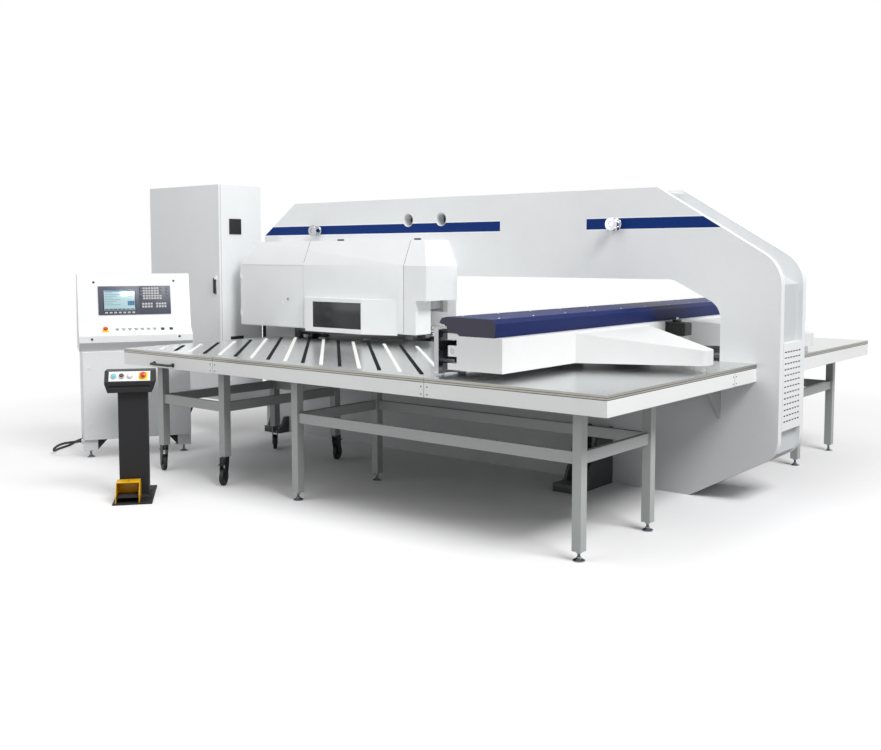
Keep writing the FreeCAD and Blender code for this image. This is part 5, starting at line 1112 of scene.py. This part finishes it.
def add_console_parts():
    """Panel screws, the door's rounded leaf with its flush locks, and the gussets at the feet."""
    screws = Form("console_screws", CONSOLE)
    for x, z in CONSOLE_SCREWS[:2]:
        screws.screw((x, 0.030 + (z - 1.069) * FACE_SLOPE, z), FACE_NORMAL, 0.0100)
    for x, z in CONSOLE_SCREWS[2:]:
        screws.screw((x, -0.070, z), (0, -1, 0), 0.0100)
    screws.done("dark_steel", "press")
    softened("console_door", "press_white", "console_door", 0.0015)
    for number, z in enumerate((0.285, 0.750)):
        lock = Form("console_door_lock_%d" % number, CONSOLE)
        lock.turned((-0.379, -0.0225, z), (0, -1, 0), LEAF_LOCK, 28)
        lock.done("dark_steel", "console_door")
    gussets = Form("console_gussets", CONSOLE)
    for side in (-1, 1):
        edge = side * 0.3225
        corner = [(edge, 0.0665), (edge, 0.1497), (edge - side * 0.075, 0.1497)]
        for y in (0.012, 0.462):
            gussets.profile("Y", y, y + 0.004, corner)
    gussets.done("charcoal", "press")


# ------------------------------------------------------------------ pedal stand
STAND_BUTTONS = ((1, -0.118, "button_cyan"), (2, -0.066, "button_brown"), (3, -0.012, "key_white"))
STAND_ROW = 0.044
STAND_RING = [(0.0156, 0.0), (0.0156, 0.0105), (0.0165, 0.0118), (0.0186, 0.0118), (0.0198, 0.0100),
              (0.0198, 0.0)]
STAND_LENS = [(0.0, 0.0175), (0.0090, 0.0170), (0.0132, 0.0152), (0.0150, 0.0125), (0.0150, 0.0085),
              (0.0, 0.0085)]


def add_stand_panel():
    """The stand's pale control panel with its ring buttons and the plate of its stop."""
    panel = Form("stand_panel", HEAD)
    panel.block((-0.150, 0.122), (0.0065, 0.0805), (0.0001, 0.0012), 0.0005)
    panel.done("skirt_white", "press")
    collars = Form("stand_collars", HEAD)
    for _, x, _ in STAND_BUTTONS:
        collars.turned((x, STAND_ROW, 0.0012), (0, 0, 1), STAND_RING, 40)
    collars.done("chromed", "press")
    for number, x, paint in STAND_BUTTONS:
        name = "pedestal_button_%d" % number
        cap = Form(name + "_cap", HEAD)
        cap.turned((x, STAND_ROW, 0), (0, 0, 1), STAND_LENS, 40)
        cap.done(paint, name, [name])
    stop = Form("stand_stop_plate", HEAD)
    x, y = STAND_STOP
    stop.block((x - 0.030, x + 0.030), (y - 0.030, y + 0.030), (0.0004, 0.0030), 0.001)
    collar = [(0.0108, 0.0), (0.0108, 0.009), (0.0178, 0.009), (0.0205, 0.006), (0.0226, 0.0)]
    stop.turned((x, y, 0.003), (0, 0, 1), collar, 40)
    stop.done("stop_yellow", "press")


STAND_BOLT = [(0.0, 0.006), (0.0055, 0.006), (0.0065, 0.005), (0.0065, 0.0)]


def add_pedal_parts():
    """The yellow hood over the pedal, the ribs on its tread and the stand's floor bolts."""
    guard = Form("pedal_hood", STAND)
    low = 0.012
    high = 0.140
    back = 0.180
    mouth = [(0.0042, 0.0645), (0.0042, low), (back, low), (back, high), (0.0663, high)]
    for x in ((-0.109, -0.105), (0.043, 0.047)):
        guard.profile("X", x[0], x[1], mouth, 0.0015)
    guard.block((-0.1052, 0.0432), (0.0663, back), (0.136, high), 0.0012)
    guard.block((-0.1052, 0.0432), (0.176, back), (low, 0.1362), 0.0012)
    guard.profile("X", -0.033, -0.029, [(0.070, high - 0.0005), (back - 0.002, high - 0.0005),
                                        (back - 0.010, high), (0.075, high)])
    guard.done("guard_yellow", "press", ["pedal_guard"])

    ribs = Form("pedal_ribs", STAND)
    for row in range(6):
        y = 0.032 + row * 0.014
        z = 0.0519 - (y - 0.024) * 0.0141
        ribs.block((-0.096, 0.034), (y - 0.0025, y + 0.0025), (z - 0.001, z + 0.0012), 0.0008)
    ribs.done("rubber", "foot_pedal")
    bolts = Form("stand_bolts", STAND)
    for x in (-0.106, 0.106):
        for y in (0.190, 0.340):
            bolts.turned((x, y, 0.020), (0, 0, 1), STAND_BOLT, 6)
    bolts.done("dark_steel", "press")


# ------------------------------------------------------------------ floor and light
FLOOR_RADIUS = 60.0
FLOOR_SEEN = (0.93, 0.93, 0.94)
FLOOR_LIT = (0.42, 0.42, 0.43)
FADE_FROM = 2.0
FADE_LENGTH = 4.4
WORLD_LEVEL = 0.34
LAMPS = [
    ("overhead", (4.2, -0.5, 7.0), (0.9, -0.5, 0.9), (3.5, 10.0), 190.0),
    ("rear_side", (3.4, 11.5, 12.5), (0.5, 0.0, 0.9), (8.0, 5.0), 2200.0),
    ("front_side", (9.0, -6.0, 3.6), (0.8, -1.0, 1.0), (5.0, 4.0), 90.0),
]


def add_floor():
    """A pale floor that fades to white away from the press, and throws less light up than it shows."""
    finish = Finish("floor_pale")
    spot = finish.node("ShaderNodeTexCoord", output="Object")
    apart = finish.node("ShaderNodeVectorMath", {"operation": "LENGTH"}, {0: spot}, "Value")
    fade = ((apart - FADE_FROM) / FADE_LENGTH).clipped()
    straight = finish.node("ShaderNodeLightPath", output="Is Camera Ray")
    finish.set(base_color=finish.blend(straight, FLOOR_LIT, FLOOR_SEEN))
    finish.set(roughness=0.75, specular_ior_level=0.2)
    pale = Sum(finish.tree, finish.shader.outputs[0])
    glow = finish.node("ShaderNodeEmission", None, {"Color": (1.0, 1.0, 1.0), "Strength": 1.0})
    mixed = finish.node("ShaderNodeMixShader", None, {0: fade * finish.seen_rays(), 1: pale, 2: glow})
    finish.plug(finish.tree.nodes["Material Output"].inputs["Surface"], mixed)
    bm = bmesh.new()
    bmesh.ops.create_circle(bm, cap_ends=True, radius=FLOOR_RADIUS, segments=96)
    mesh = bpy.data.meshes.new("floor")
    bm.to_mesh(mesh)
    bm.free()
    mesh.materials.append(finish.material)
    floor = bpy.data.objects.new("floor", mesh)
    scene.collection.objects.link(floor)


def add_surroundings():
    """A white studio all round, bright where it is seen and dimmer where it only lights."""
    world = bpy.data.worlds.new("studio")
    scene.world = world
    world.use_nodes = True
    studio = Nodes(world.node_tree)
    back = studio.tree.nodes["Background"]
    studio.plug(back.inputs["Strength"], studio.seen_rays() * (1.0 - WORLD_LEVEL) + WORLD_LEVEL)
    studio.plug(back.inputs["Color"], (1.0, 1.0, 1.0))


def add_lamps():
    """Three large soft lamps, each aimed at the press."""
    for name, place, aim, size, power in LAMPS:
        lamp = bpy.data.lights.new(name, "AREA")
        lamp.shape = "RECTANGLE"
        lamp.size, lamp.size_y = size
        lamp.energy = power
        thing = bpy.data.objects.new(name, lamp)
        thing.location = place
        thing.rotation_euler = (Vector(aim) - Vector(place)).to_track_quat("-Z", "Y").to_euler()
        scene.collection.objects.link(thing)


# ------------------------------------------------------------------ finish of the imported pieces
NODE_FINISH = {
    "ram": "chromed", "index_shaft": "ground_steel", "index_belts": "rubber",
    "y_rails": "ground_steel", "x_rails": "dark_steel", "x_screw": "chromed",
    "cabinet_fittings": "black_plastic", "black_strips": "brush_black", "white_strips": "brush_white",
}


def finish_nodes():
    """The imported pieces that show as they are, each with its finish."""
    for name, paint in NODE_FINISH.items():
        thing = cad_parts[name]
        for slot in thing.material_slots:
            slot.material = PAINT[paint]
        if not thing.material_slots:
            thing.data.materials.append(PAINT[paint])


add_camera()
add_cable()
add_softened()
add_frame()
add_frame_trim()
add_feet()
add_turret_marks()
add_window()
add_cover_seams()
add_beam_parts()
add_balls()
add_skirt_joints()
add_bow_handle()
add_wheels()
add_cabinet_parts()
add_control_unit()
add_desk_controls()
add_stops()
add_console_parts()
add_stand_panel()
add_pedal_parts()
add_floor()
add_surroundings()
add_lamps()
finish_nodes()
